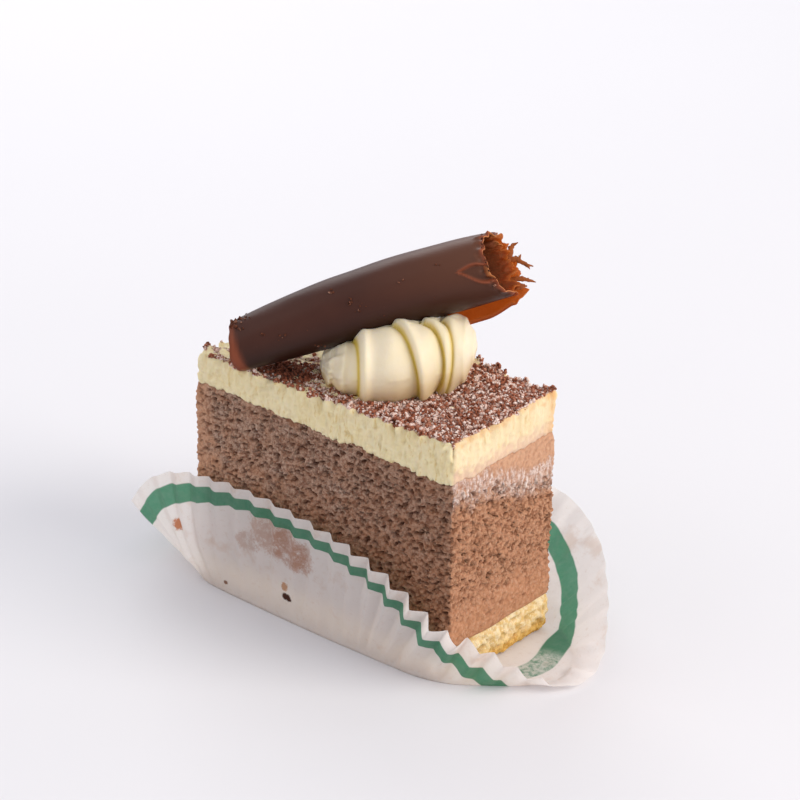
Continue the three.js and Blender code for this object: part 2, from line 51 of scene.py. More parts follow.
# %% Sizes and small tools
MM = 0.001
LENGTH, WIDTH = 91.0, 42.7
HALF_X, HALF_Y = LENGTH / 2, WIDTH / 2
BISCUIT_UNDERSIDE, BISCUIT_TOP, MOUSSE_TOP = 0.7, 11.4, 60.9
CREAM_TOP_LOW, CREAM_TOP_HIGH = 69.4, 73.3


def smooth(low, high, value):
    """0 below low, 1 above high, and a soft step between."""
    t = np.clip((np.asarray(value, float) - low) / (high - low), 0, 1)
    return t * t * (3 - 2 * t)


def blend(a, b, share):
    return a + (b - a) * share


def cream_top(x):
    return blend(CREAM_TOP_LOW, CREAM_TOP_HIGH, x / LENGTH + 0.5)


def grain(seed, along, across, turn=0.0, cell=0.25, count=512):
    """A repeatable field of bumps around 0 with a spread of 1.

    along and across are the bumps' usual spacing in mm, and turn is their slant in degrees."""
    random = np.random.default_rng(seed)
    fx = np.fft.fftfreq(count, cell)[:, None]
    fy = np.fft.fftfreq(count, cell)[None, :]
    c, s = math.cos(math.radians(turn)), math.sin(math.radians(turn))
    pitch = ((fx * c + fy * s) * along) ** 2 + ((fy * c - fx * s) * across) ** 2
    waves = np.fft.fft2(random.standard_normal((count, count))) * pitch * np.exp(-pitch)
    patch = np.fft.ifft2(waves).real
    patch /= patch.std()

    def height(a, b):
        a, b = np.asarray(a, float) / cell, np.asarray(b, float) / cell
        i, j = np.floor(a).astype(int), np.floor(b).astype(int)
        u, v = a - i, b - j
        i, j, i1, j1 = i % count, j % count, (i + 1) % count, (j + 1) % count
        low = patch[i, j] * (1 - u) + patch[i1, j] * u
        high = patch[i, j1] * (1 - u) + patch[i1, j1] * u
        return low * (1 - v) + high * v
    return height


def grid_faces(rows, columns, wrap=True, start=0):
    """The quads of a grid of points, row by row. With wrap, the last column joins the first."""
    i = np.arange(rows - 1)[:, None]
    j = np.arange(columns if wrap else columns - 1)[None, :]
    k = (j + 1) % columns
    quads = np.stack([i * columns + j, i * columns + k, (i + 1) * columns + k, (i + 1) * columns + j], -1)
    return quads.reshape(-1, 4) + start


def make(name, points, faces, materials, face_material=None, marks=None):
    """A smooth mesh piece from points in mm. marks are named numbers, one for each point."""
    mesh = bpy.data.meshes.new(name)
    mesh.from_pydata((np.asarray(points) * MM).tolist(), [], [f for block in faces for f in block.tolist()])
    for material in materials:
        mesh.materials.append(material)
    if face_material is not None:
        mesh.polygons.foreach_set("material_index", np.asarray(face_material, np.int32))
    mesh.polygons.foreach_set("use_smooth", np.ones(len(mesh.polygons), bool))
    for mark, values in (marks or {}).items():
        attribute = mesh.attributes.new(mark, "FLOAT", "POINT")
        attribute.data.foreach_set("value", np.asarray(values, np.float32))
    mesh.update()
    piece = bpy.data.objects.new(name, mesh)
    bpy.context.scene.collection.objects.link(piece)
    return piece


def place(piece, slot, *nodes):
    """Let a piece ride on the slice and stand for the named solids. The slot is not used."""
    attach(piece, "root")
    if nodes:
        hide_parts(*nodes)
    print(piece.name, len(piece.data.polygons), "faces")


# %% [markdown]
# ## Materials
# A finish is a small graph of nodes. One function adds a node, sets its values and links its inputs.
# Another lays colours over each other, so a material reads from its ground up. Colours are given as
# they look on a screen and turned into linear light. Each pattern's size is in real millimetres:
# 1000 divided by it is the texture's scale, because the scene is in metres.

# %% Colours and nodes
MIX_SHARE, MIX_UNDER, MIX_OVER, MIX_RESULT = 0, 6, 7, 2
SOFT = {"interpolation_type": "SMOOTHSTEP"}


def linear(code):
    """A screen colour such as #e0c8a0 as linear red, green, blue and alpha."""
    shares = [int(code[k:k + 2], 16) / 255 for k in (1, 3, 5)]
    return tuple(s / 12.92 if s <= 0.04045 else ((s + 0.055) / 1.055) ** 2.4 for s in shares) + (1.0,)


def add(tree, kind, inputs=None, out=0, **settings):
    """Add one node and return one of its outputs. An input is a number, a colour or an output."""
    node = tree.nodes.new("ShaderNode" + kind)
    for name, value in settings.items():
        setattr(node, name, value)
    for name, value in (inputs or {}).items():
        if isinstance(value, bpy.types.NodeSocket):
            tree.links.new(value, node.inputs[name])
        else:
            node.inputs[name].default_value = value
    return node.outputs[out] if node.outputs else None


def new_material(name, *marks):
    """An empty material, the function that adds its nodes, and the piece's point marks to use in it."""
    made = bpy.data.materials.new(name)
    made.use_nodes = True
    made.node_tree.nodes.clear()
    node = partial(add, made.node_tree)
    return made, node, [node("Attribute", out="Fac", attribute_name=mark) for mark in marks]


def layered(node, colour, *layers):
    """Lay colours over a first one.

    A layer is a value and the colour it brings. It may go on with the value where the colour begins,
    the value where it is full, and the most that it covers."""
    for value, over, *span in layers:
        if span:
            begin, full, most = (*span, 1.0)[:3]
            span = {"Value": value, "From Min": begin, "From Max": full, "To Max": most}
            value = node("MapRange", span, **SOFT)
        inputs = {MIX_SHARE: value, MIX_UNDER: colour, MIX_OVER: over}
        colour = node("Mix", inputs, MIX_RESULT, data_type="RGBA")
    return colour


print("half grey on a screen is", round(linear("#808080")[0], 3), "in linear light")


# %% Patterns
def spots(node, size, detail=4.0, roughness=0.6, stretch=(1, 1, 1)):
    """Cloudy noise whose patches are about size mm wide."""
    scaled = node("Mapping", {"Vector": node("TexCoord", out="Object"), "Scale": stretch})
    inputs = {"Vector": scaled, "Scale": 1000 / size, "Detail": detail, "Roughness": roughness}
    return node("TexNoise", inputs, "Fac")


def cells(node, size):
    """Distance from the middles of uneven grains about size mm wide: 0 in the middle, 0.6 in the gaps."""
    at = node("TexCoord", out="Object")
    cloud = node("TexNoise", {"Vector": at, "Scale": 1000 / (size * 1.3), "Detail": 2.0}, "Color")
    bend = node("VectorMath", {0: cloud, 1: (size * MM,) * 3}, operation="MULTIPLY")
    bent = node("VectorMath", {0: at, 1: bend}, operation="ADD")
    return node("TexVoronoi", {"Vector": bent, "Scale": 1000 / size, "Randomness": 1.0}, "Distance")


print("a pattern of 1 mm has a texture scale of", 1000 / 1)

# %% [markdown]
# ## Mousse
# A set mousse of chocolate and cheese is full of small bubbles. The knife drags them into slanted
# pores, and smears the part near the cream into a paler, greyish skin. A displaced box could be
# sculpted, but here the sides are a grid of points moved in and out by repeatable fields of bumps,
# so every pore is real relief. The point mark "pit" darkens the bottoms of the pores a little more,
# as light that enters them is lost.

# %% Mousse material
MOUSSE_GRAIN, MOUSSE_FINE_GRAIN = 1.15, 0.6


def mousse_material():
    """Set mousse is matt and crumbly: brown in the mass, greyish where cream was dragged over it."""
    made, node, (rosy, sunny, white, frost, smear, pit, loose) = new_material(
        "set_chocolate_mousse", "rosy", "sunny", "white", "frost", "smear", "pit", "loose")
    grains = cells(node, MOUSSE_GRAIN)
    speckle = spots(node, 0.7, 4.0, 0.8)
    frosty = layered(node, linear("#8e6a56"), (speckle, linear("#c4a591"), 0.36, 0.6))
    creamy = layered(node, linear("#b08f80"), (speckle, linear("#eeded6"), 0.36, 0.6))
    # Painted light and shade on the grains: their middles are lightened as lit tops, the gaps between them
    # are darkened as shade, and pit darkens the pores as shade.
    gap = node("MapRange", {"Value": grains, "From Min": 0.5, "From Max": 0.85, "To Max": 0.6}, **SOFT)
    crevice_shade = node("Math", {0: gap, 1: loose}, operation="MULTIPLY")
    colour = layered(
        node, linear("#9c6a4a"), (spots(node, 5.0), linear("#ad7a5b")), (rosy, linear("#bd8763")),
        # sunny lays painted light
        (sunny, linear("#cf9a78")), (grains, linear("#c39a80"), 0.5, 0.1, 0.5), (white, creamy),
        (frost, frosty), (smear, linear("#c99c7e")), (crevice_shade, linear("#6e3c22")),
        (pit, linear("#5a2e1a")))
    small = node("Math", {0: cells(node, MOUSSE_FINE_GRAIN), 1: 0.45}, operation="MULTIPLY")
    deep = node("Math", {0: grains, 1: small}, operation="ADD")
    height = node("Math", {0: spots(node, 0.5, 4.0, 0.7), 1: deep}, operation="SUBTRACT")
    strength = node("MapRange", {"Value": loose, "To Min": 0.3, "To Max": 1.0})
    skin = node("Bump", {"Height": height, "Distance": 0.42 * MM, "Strength": strength})
    shader = node("BsdfPrincipled", {
        "Base Color": colour, "Roughness": 0.78, "Normal": skin, "IOR": 1.45,
        "Specular IOR Level": 0.3, "Subsurface Weight": 0.12, "Subsurface Radius": (1.0, 0.5, 0.3),
        "Subsurface Scale": 0.8 * MM})
    node("OutputMaterial", {"Surface": shader})
    return made


# %% Outline of the cut block
def outline(radii, spacing):
    """Evenly spaced points round the slice, their outward directions and their run along it in mm.

    The corners come in the order back right, back left, front left, front right."""
    corners = [(1, 1), (-1, 1), (-1, -1), (1, -1)]
    points, outward = [], []
    for quarter, ((sx, sy), radius) in enumerate(zip(corners, radii)):
        centre = np.array([sx * (HALF_X - radius), sy * (HALF_Y - radius)])
        for degrees in np.linspace(90 * quarter, 90 * quarter + 90, 13):
            arm = np.array([math.cos(math.radians(degrees)), math.sin(math.radians(degrees))])
            points.append(centre + radius * arm)
            outward.append(arm)
    points, outward = np.array(points + points[:1]), np.array(outward + outward[:1])
    run = np.concatenate([[0], np.cumsum(np.linalg.norm(np.diff(points, axis=0), axis=1))])
    count = int(run[-1] / spacing)
    places = np.arange(count) * run[-1] / count
    at = np.stack([np.interp(places, run, points[:, k]) for k in (0, 1)], -1)
    out = np.stack([np.interp(places, run, outward[:, k]) for k in (0, 1)], -1)
    return at, out / np.linalg.norm(out, axis=1)[:, None], places


print("the slice's outline is", round(outline([0.9] * 4, 1.0)[2][-1]), "mm round")

# %% Layers
CLOSING_RINGS = (0.1, 0.6, 0.95)  # shrunken rings close a layer below and above
interface_bumps = grain(11, 14, 14)
fine_interface = grain(12, 3, 3)


def interface(x, y):
    """Where mousse and cream meet: it wanders up and down."""
    return MOUSSE_TOP + 0.3 * interface_bumps(x + 60, y + 40) + 0.12 * fine_interface(x + 60, y + 40)


def closed_block(rings, tops=()):
    """Rings from bottom to top, closed by shrinking rings, or above by the given tops."""
    columns = len(rings[0])
    first, last = rings[0], rings[-1]
    below = [np.column_stack([first[:, :2] * s, first[:, 2]]) for s in CLOSING_RINGS]
    above = list(tops) or [np.column_stack([last[:, :2] * s, last[:, 2]]) for s in CLOSING_RINGS[::-1]]
    every = below + list(rings) + above
    around = np.arange(columns)
    ends = [around[::-1][None, :], around[None, :] + (len(every) - 1) * columns]
    return np.vstack(every), [grid_faces(len(every), columns)] + ends


def on_sides(values, above=len(CLOSING_RINGS)):
    """A mark for every point of a closed block: values on its sides and 0 on the rings that close it."""
    columns = values.shape[1]
    below = len(CLOSING_RINGS)
    return np.concatenate([np.zeros(below * columns), values.ravel(), np.zeros(above * columns)])


print("mousse and cream meet at about", round(float(interface(0, 0)), 2), "mm")

# %% Mousse: the grid of its sides
MOUSSE_STEP = 0.42
at, out, run = outline([0.9, 0.9, 0.8, 0.8], MOUSSE_STEP)
rows = int((MOUSSE_TOP - BISCUIT_TOP) / MOUSSE_STEP)
share = np.linspace(0, 1, rows)[:, None]
top = interface(at[:, 0], at[:, 1])[None, :] - 0.02
z = blend(BISCUIT_TOP, top, share)
s = np.broadcast_to(run[None, :], z.shape)
below_top = top - z
near_end = smooth(0.5, 0.9, out[:, 0])[None, :]  # 1 on the short side that faces +X
far_left = smooth(-HALF_X + 9, -HALF_X, at[:, 0])[None, :]  # 1 at the far short side
print("mousse sides:", rows, "rows of", len(run), "points")

# %% Mousse: its fields of bumps
slanted = grain(21, 4.4, 1.5, 33)(s, z)
level = grain(22, 4.6, 1.6, 2)(s, z)
speckle = grain(23, 1.8, 1.5, 20)(s, z)
lumps = grain(27, 2.6, 2.2)(s, z)
combing = grain(24, 5.5, 1.1, 90)(s, z)
swell = grain(25, 22, 18)(s, z)
wander = grain(26, 9, 7)(s, z)
print("pores slant by 33 degrees on the near end, and by 2 on the long sides")

# %% Mousse: the smeared wedge and the frosty band under it
wedge = -1.5 + 9.0 * smooth(-HALF_Y, HALF_Y, at[:, 1])[None, :] + 0.9 * wander
combed = below_top + 0.5 * combing
smear = near_end * (1 - smooth(wedge - 1.6, wedge + 1.6, combed)) * (0.8 + 0.12 * speckle)
band_end = smooth(wedge + 6, wedge + 11, below_top + 1.6 * wander)
band = smooth(wedge - 1.6, wedge + 2.0, combed) * (1 - band_end)
frost_near = near_end * band * (0.55 + 0.3 * combing)
upper_part = smooth(22, 52, z + 2 * wander)
to_near = smooth(-5, HALF_X, at[:, 0])[None, :]
frost_front = (1 - near_end) * (0.25 + 0.75 * upper_part) * (1 - 0.4 * to_near)
frost_front = frost_front * (0.75 + 0.15 * wander) * (1 - 0.7 * far_left)
print("the wedge is up to", round(float(wedge.max()), 1), "mm deep")

# %% Mousse: where it is loose
# the lowest quarter of the near end is dense, and the band under the cream was pressed smooth
lower_part = 0.7 * (1 - smooth(15, 30, z + 2.5 * wander))
pressed = 0.75 * (1 - smooth(wedge + 2, wedge + 7, below_top))
loose = np.clip(1 - near_end * np.maximum(lower_part, pressed), 0, 1) * (1 - 0.4 * far_left)
pit = smooth(0.6, 1.5, blend(level, slanted, near_end)) * loose
small_pit = smooth(0.8, 2.0, -speckle) * (0.25 + 0.75 * loose)
print("open pores cover", round(100 * float((pit > 0.5).mean())), "% of the sides")

# %% Mousse: relief, tones and mesh
PORE_DEPTH, SMALL_PORE_DEPTH = 1.7, 0.4
edge = smooth(0, 1.2, z - BISCUIT_TOP) * smooth(0, 1.0, below_top)
relief = 0.22 * swell + edge * speckle * (0.04 + 0.17 * loose) + 0.1 * combing * near_end * band
relief = relief + edge * loose * (0.16 * lumps - PORE_DEPTH * pit) - SMALL_PORE_DEPTH * edge * small_pit
relief = relief - 0.2 * (1 - edge)
towards_middle = smooth(5, -18, at[:, 1])[None, :]
rosy = far_left * blend(0.5, 1, towards_middle) + 0.6 * smooth(26, 14, z + 2 * wander)
to_far = smooth(5, -HALF_X, at[:, 0])[None, :]
# sunny is painted light: it lightens the near end, which faces the window, and the long sides towards the far
# end
sunny = 0.55 * near_end * loose + (1 - near_end) * to_far
rings = [np.column_stack([at + out * relief[k][:, None], z[k]]) for k in range(rows)]
points, faces = closed_block(rings)
mousse = make("mousse", points, faces, [mousse_material()], marks={
    "pit": on_sides(np.clip(0.95 * pit ** 1.3 + 0.25 * small_pit, 0, 1)),
    "frost": on_sides(np.clip(frost_front, 0, 1)), "white": on_sides(np.clip(frost_near, 0, 1)),
    "smear": on_sides(smear), "loose": on_sides(loose), "rosy": on_sides(np.clip(rosy, 0, 1)),
    "sunny": on_sides(sunny)})
place(mousse, "chocolate_mousse", "chocolate_mousse")

# %% [markdown]
# ## Biscuit
# Crushed biscuit bound with butter: coarse crumbs, golden where the butter soaked in. It is a grid
# like the mousse, with rounder and larger bumps, and its lower edge is drawn in where the crumbs
# were pressed into the tin's corner.


# %% Biscuit material
def biscuit_material():
    """Biscuit crumb is dry and pale above, and golden and a little translucent where butter sank."""
    made, node, (pit,) = new_material("buttered_biscuit_crumb", "pit")
    height_above_table = node("SeparateXYZ", {"Vector": node("TexCoord", out="Object")}, "Z")
    golden = layered(node, linear("#c8923a"), (spots(node, 2.0, 4.0), linear("#e2b968"), 0.4, 0.6))
    # pit is painted shade in the hollows between crumbs
    colour = layered(
        node, linear("#ddb877"), (spots(node, 2.2, 4.0, 0.65), linear("#f0dcb4"), 0.35, 0.65),
        (cells(node, 1.0), linear("#f3e3bd"), 0.35, 0.05),
        (height_above_table, golden, 7.8 * MM, 2.0 * MM), (pit, linear("#b58a45")))
    grains = node("Math", {0: cells(node, 0.8), 1: 0.5}, operation="MULTIPLY")
    flaky = spots(node, 0.9, 6.0, 0.8, (1, 1, 0.4))
    height = node("Math", {0: flaky, 1: grains}, operation="SUBTRACT")
    skin = node("Bump", {"Height": height, "Distance": 0.36 * MM, "Strength": 1.0})
    shader = node("BsdfPrincipled", {
        "Base Color": colour, "Roughness": 0.75, "Normal": skin, "IOR": 1.45,
        "Specular IOR Level": 0.3, "Subsurface Weight": 0.15, "Subsurface Radius": (1.0, 0.6, 0.25),
        "Subsurface Scale": 1.5 * MM})
    node("OutputMaterial", {"Surface": shader})
    return made


# %% Biscuit body
BISCUIT_ROWS, BISCUIT_STEP, MOST_RELIEF = 24, 0.5, 1.0
at, out, run = outline([2, 3, 4, 8.5], BISCUIT_STEP)
share = np.linspace(0, 1, BISCUIT_ROWS)[:, None]
z = BISCUIT_UNDERSIDE + (BISCUIT_TOP - 0.02 - BISCUIT_UNDERSIDE) * share + 0 * run[None, :]
s = np.broadcast_to(run[None, :], z.shape)
crumbs = 0.7 * grain(31, 6.5, 4.5)(s, z) + 0.55 * grain(33, 2.8, 2.4)(s, z)
small_crumbs = grain(32, 1.5, 1.3)(s, z)
profile = np.interp(share, [0, 0.14, 0.4, 0.7, 0.92, 1], [-0.9, 0, 0.4, 0.2, -0.2, -0.7])
relief = np.minimum(profile + 0.34 * crumbs + 0.12 * small_crumbs, MOST_RELIEF)
# pit marks the hollows between crumbs, where shade is painted
pit = smooth(-0.5, -1.6, crumbs + 0.5 * small_crumbs)
rings = [np.column_stack([at + out * relief[k][:, None], z[k]]) for k in range(BISCUIT_ROWS)]
points, faces = closed_block(rings)
biscuit = make("biscuit", points, faces, [biscuit_material()], marks={"pit": on_sides(0.6 * pit)})
place(biscuit, "biscuit", "biscuit_base")

# %% [markdown]
# ## The roll's form
# The roll's place decides where the cream and the swirl give way, so its form comes first.
# A point of the sheet has a distance along the roll, an angle (0 on the near side, 90 on top)
# and a radius. The roll is thinner at its low end and arches a little.

# %% Roll form
ROLL_LENGTH, ROLL_SHEET = 73.0, 1.1
ROLL_RADII = (6.9, 9.3, 9.0)  # low end, middle, open end
ROLL_START = np.array([-28.72, -21.94, 77.34])
ROLL_ALONG = np.array([0.743, 0.558, 0.369])
ROLL_ALONG /= np.linalg.norm(ROLL_ALONG)
ROLL_ACROSS = np.cross(ROLL_ALONG, [0, 0, 1])
ROLL_ACROSS /= np.linalg.norm(ROLL_ACROSS)
ROLL_UP = np.cross(ROLL_ACROSS, ROLL_ALONG)
ROLL_BOW = 1.1


def roll_radius(along):
    t = np.clip(along / ROLL_LENGTH, 0, 1)
    low, middle, high = ROLL_RADII
    return low * (1 - t) * (1 - 2 * t) + middle * 4 * t * (1 - t) + high * t * (2 * t - 1)


def roll_bow(along):
    t = np.asarray(along) / ROLL_LENGTH
    return ROLL_BOW * 4 * t * (1 - t)


def roll_point(along, degrees, radius):
    """Where a point of the roll lies, in mm."""
    angle = np.radians(degrees)
    across, up = radius * np.cos(angle), radius * np.sin(angle) + roll_bow(along)
    run = along[..., None] * ROLL_ALONG
    return ROLL_START + (run + across[..., None] * ROLL_ACROSS + up[..., None] * ROLL_UP)


def clear_of_roll(points, gap=0.15):
    """Push points that lie inside the roll out to its skin."""
    arm = points - ROLL_START
    along = arm @ ROLL_ALONG
    across, up = arm @ ROLL_ACROSS, arm @ ROLL_UP - roll_bow(along)
    reach = np.hypot(across, up)
    wanted = roll_radius(along) + gap
    inside = (reach < wanted) & (along > -gap) & (along < ROLL_LENGTH)
    push = np.where(inside, wanted / np.maximum(reach, 0.5) - 1, 0)
    return points + push[:, None] * (across[:, None] * ROLL_ACROSS + up[:, None] * ROLL_UP)


print("the roll rises", round(float(ROLL_ALONG[2] * ROLL_LENGTH)), "mm along its length")

# %% [markdown]
# ## Cream cheese layer
# The knife leaves fine upright combing on the cut sides and a scalloped top edge. Cocoa lies on
# top, thick towards the near end, and falls over the edge between the ridges in short tongues. The
# sides are a grid like the mousse. The top is a set of shrinking rings, so that its lumps and the
# cocoa on it carry on from the scallops without a seam.

# %% Cream cheese material
SUGAR_SPOT, COCOA_CLUMP = 0.6, 0.9


def cream_cheese_material():
    """Cream cheese is ivory and a little translucent. The cocoa on it is matt and breaks into clumps."""
    made, node, (cocoa, deep, smear, tinted) = new_material(
        "dusted_cream_cheese", "cocoa", "deep", "smear", "tinted")
    cream = layered(
        node, linear("#ecdaa6"), (spots(node, 6.0), linear("#f3e6c4")),
        (spots(node, 1.2, 3.0, 0.6, (1, 1, 0.25)), linear("#dfc58a"), 0.52, 0.75),
        (spots(node, 2.2, 6.0, 0.8), linear("#cfa67c"), 0.6, 0.74, 0.7),
        (smear, linear("#dcbba0")), (tinted, linear("#e2b27a")))
    patches = {"Value": spots(node, 6.0, 3.0), "From Min": 0.3, "From Max": 0.6}
    sugar = {"Value": spots(node, SUGAR_SPOT, 3.0, 0.75), "From Min": 0.47, "From Max": 0.57}
    sugar = node("Math", {0: node("MapRange", sugar, **SOFT), 1: node("MapRange", patches, **SOFT)},
                 operation="MULTIPLY")
    # deep is the roll's painted shadow: the dust under the roll turns near black
    powder = layered(
        node, linear("#6b3521"), (spots(node, 0.95, 4.0, 0.75), linear("#b3735a"), 0.42, 0.58),
        (sugar, linear("#dec4ba")), (deep, linear("#2c140b")))
    torn = node("Math", {0: spots(node, 0.9, 5.0, 0.8), 1: 0.5}, operation="SUBTRACT")
    torn = node("Math", {0: torn, 1: 1.5}, operation="MULTIPLY")
    dust = node("Math", {0: cocoa, 1: torn}, operation="ADD")
    colour = layered(node, cream, (dust, powder, 0.34, 0.56))
    dusty = node("MapRange", {"Value": cocoa, "From Min": 0.2, "From Max": 0.6}, **SOFT)
    clumps = node("Math", {0: 0.5, 1: cells(node, COCOA_CLUMP)}, operation="SUBTRACT")
    clumps = node("Math", {0: dusty, 1: clumps}, operation="MULTIPLY")
    height = node("Math", {0: spots(node, 0.9, 5.0, 0.75), 1: clumps}, operation="ADD")
    skin = node("Bump", {"Height": height, "Distance": 0.42 * MM, "Strength": 0.8})
    shader = node("BsdfPrincipled", {
        "Base Color": colour, "Roughness": 0.66, "Normal": skin, "IOR": 1.45,
        "Specular IOR Level": 0.3, "Subsurface Weight": 0.25, "Subsurface Radius": (1.0, 0.8, 0.45),
        "Subsurface Scale": 1.4 * MM})
    node("OutputMaterial", {"Surface": shader})
    return made


# %% Where cocoa lies
cocoa_patches = grain(41, 7, 5)


def cocoa_cover(x, y):
    """How thick the cocoa lies on the top, 0 to 1: thick at the near end, thin and patchy at the far end."""
    patches = cocoa_patches(x + 60, y + 40)
    # the thick spot under the low half of the roll is partly cocoa and partly the roll's painted shadow
    thick = smooth(-12, 26, x) * 0.75 + 0.8 * np.exp(-((x + 20) / 9) ** 2 - ((y + 14) / 5) ** 2)
    bare_rim = smooth(0, 6, x + HALF_X) * smooth(0, 1.5, HALF_Y - np.abs(y))
    return np.clip(0.4 + thick + 0.22 * patches, 0, 1.2) * (0.55 + 0.45 * bare_rim)


def painted_roll_shadow(points):
    """1 in the hollow under the low half of the roll, where the roll's shadow is painted into the dust."""
    return 0.95 * np.exp(-((points[:, 0] + 17.5) / 8) ** 2 - ((points[:, 1] + 14.5) / 5) ** 2)


print("cocoa cover from far to near:", [round(float(cocoa_cover(x, 0)), 1) for x in (-40, -20, 0, 20, 40)])

# %% Cream cheese: the grid of its sides
CREAM_ROWS, CREAM_STEP, TOOTH_RISE = 26, 0.42, 0.95
at, out, run = outline([1.4, 1.4, 1, 1.2], CREAM_STEP)
columns = len(run)
bottom = interface(at[:, 0], at[:, 1])
crest = cream_top(at[:, 0])
front = 1 - smooth(0.5, 0.9, out[:, 0])  # 0 on the short side that faces +X
teeth = grain(42, 4.8, 4.8)(run, 0 * run) * blend(0.5, 1.0, front)
share = np.linspace(0, 0.985, CREAM_ROWS)[:, None]
z = blend(bottom[None, :], (crest + TOOTH_RISE * teeth)[None, :], share)
s = np.broadcast_to(run[None, :], z.shape)
print("the scallops stand", round(float(TOOTH_RISE * np.ptp(teeth)), 1), "mm from hollow to crest")

# %% Cream cheese: its sides' relief
comb = grain(43, 8, 1.3, 90)(s, z)
lumps = grain(44, 3.2, 2.6)(s, z)
swell = grain(25, 22, 18)(s, z)
rounded = np.interp(share, [0, 0.04, 0.3, 0.86, 0.95, 1], [-0.25, 0, 0.1, -0.15, -0.55, -1.0])
relief = 0.2 * swell + (0.07 + 0.1 * front) * comb + (0.1 + 0.1 * front) * lumps + rounded
relief = relief + 0.6 * smooth(0.45, 1.0, share) * teeth[None, :]
rings = [np.column_stack([at + out * relief[k][:, None], z[k]]) for k in range(CREAM_ROWS)]
print("the sides' relief is", round(float(np.ptp(relief)), 1), "mm deep")

# %% Cream cheese: tones of its sides
above_foot, under_crest = z - bottom[None, :], crest[None, :] - z
tongue = smooth(-0.2, 1.4, -teeth)[None, :] * 3.6 + 0.7
edge_cover = cocoa_cover(at[:, 0] * 0.97, at[:, 1] * 0.95)[None, :]
side_cocoa = smooth(1.0, -0.4, under_crest / np.maximum(tongue * edge_cover, 0.3)) * 0.8
side_smear = (1 - front) * (0.3 + 0.7 * smooth(5.5, 0.5, above_foot + 0.6 * lumps))
far_corner = smooth(HALF_Y - 6, HALF_Y, at[:, 1])[None, :] * (1 - front)
side_tint = (1 - front) * 0.55 * smooth(3.0, 0.5, under_crest + 0.8 * lumps) + 0.6 * far_corner
print("cocoa covers", round(100 * float((side_cocoa > 0.5).mean())), "% of the sides")

# %% Cream cheese: its top and mesh
TOP_RINGS = 44
top_lumps = grain(45, 1.9, 1.9)
top_swell = grain(46, 13, 13)
tops, top_cocoa = [], []
for k in range(1, TOP_RINGS + 1):
    shrink = 1 - (k / TOP_RINGS) * 0.985
    x, y = rings[-1][:, 0] * shrink, rings[-1][:, 1] * shrink
    cover = cocoa_cover(x, y)
    scallop = TOOTH_RISE * teeth * max(0, 1 - k / 5)
    rough = 0.1 + 0.22 * np.clip(cover, 0, 1)
    uneven = 0.2 * top_swell(x + 60, y + 40) + rough * top_lumps(x + 60, y + 40)
    tops.append(np.column_stack([x, y, cream_top(x) - 0.25 + scallop + uneven]))
    top_cocoa.append(cover)
points, faces = closed_block(rings, tops)
cream_points = clear_of_roll(points)
top_cocoa = np.concatenate(top_cocoa)
cocoa = on_sides(side_cocoa, above=TOP_RINGS)
cocoa[-TOP_RINGS * columns:] = top_cocoa
cream = make("cream_cheese", cream_points, faces, [cream_cheese_material()], marks={
    "cocoa": cocoa, "deep": painted_roll_shadow(cream_points), "smear": on_sides(side_smear, above=TOP_RINGS),
    "tinted": on_sides(np.clip(side_tint, 0, 1), above=TOP_RINGS)})
place(cream, "cream_cheese", "cream_layer")

# %% [markdown]
# ## Cocoa grains
# Cocoa and powdered sugar clump into grains of about half a millimetre. A colour alone would leave
# the top flat against the light, so each kind is one mesh of small uneven lumps, strewn where the
# dust lies thick.


# %% Lumps
def lump_form(seed):
    """An uneven lump with 12 points and 20 faces, about 1 across."""
    random = np.random.default_rng(seed)
    g = (1 + 5 ** 0.5) / 2
    corners = np.array([(-1, g, 0), (1, g, 0), (-1, -g, 0), (1, -g, 0), (0, -1, g), (0, 1, g),
                        (0, -1, -g), (0, 1, -g), (g, 0, -1), (g, 0, 1), (-g, 0, -1), (-g, 0, 1)])
    corners = corners / np.linalg.norm(corners[0]) * 0.5
    gaps = np.linalg.norm(corners[:, None] - corners[None], axis=2)
    near = (gaps > 0) & (gaps < 0.6)
    sides = [(a, b, c) for a in range(12) for b in range(a + 1, 12) for c in range(b + 1, 12)
             if near[a, b] and near[b, c] and near[a, c]]
    turned = []
    for a, b, c in sides:
        facing = np.cross(corners[b] - corners[a], corners[c] - corners[a]) @ corners[a]
        turned.append((a, b, c) if facing > 0 else (a, c, b))
    return corners * (1 + random.uniform(-0.3, 0.3, (12, 1))), np.array(turned)


print("a lump has", len(lump_form(1)[1]), "faces")


# %% Strewing
def strew(name, where, sizes, seed, made, slot, shade=0.0):
    """One mesh of lumps, each turned at random and half sunk into the surface. shade darkens them."""
    random = np.random.default_rng(seed)
    lumps = [lump_form(seed + k) for k in range(5)]
    points, faces = [], []
    for k, (spot, size) in enumerate(zip(where, sizes)):
        corners, sides = lumps[k % len(lumps)]
        turn = np.linalg.qr(random.standard_normal((3, 3)))[0]
        if np.linalg.det(turn) < 0:
            turn[:, 0] *= -1
        squashed = (corners * random.uniform(0.5, 1.5, 3)) @ turn.T * size
        points.append(squashed + spot + [0, 0, 0.15 * size])
        faces.append(sides + 12 * k)
    piece = make(name, np.vstack(points), [np.vstack(faces)], [made],
                 marks={"tone": np.repeat(random.uniform(0, 1, len(where)) * (1 - shade), 12)})
    place(piece, slot)
    return piece


# %% Powder material
def powder_material(name, dark, middle, pale, turn):
    """Powder scatters light at every grain, so it is matt. Each grain has a tone from dark to pale."""
    made, node, (tone,) = new_material(name, "tone")
    colour = layered(
        node, linear(dark), (tone, linear(middle), 0.0, turn), (tone, linear(pale), turn, 1.0),
        (spots(node, 0.45, 3.0, 0.7), linear(middle), 0.42, 0.6),
        (spots(node, 0.35, 3.0, 0.7), linear(dark), 0.56, 0.66))
    skin = node("Bump", {"Height": spots(node, 0.25), "Distance": 0.05 * MM, "Strength": 1.0})
    shader = node("BsdfPrincipled", {
        "Base Color": colour, "Roughness": 0.9, "Specular IOR Level": 0.2, "Normal": skin})
    node("OutputMaterial", {"Surface": shader})
    return made


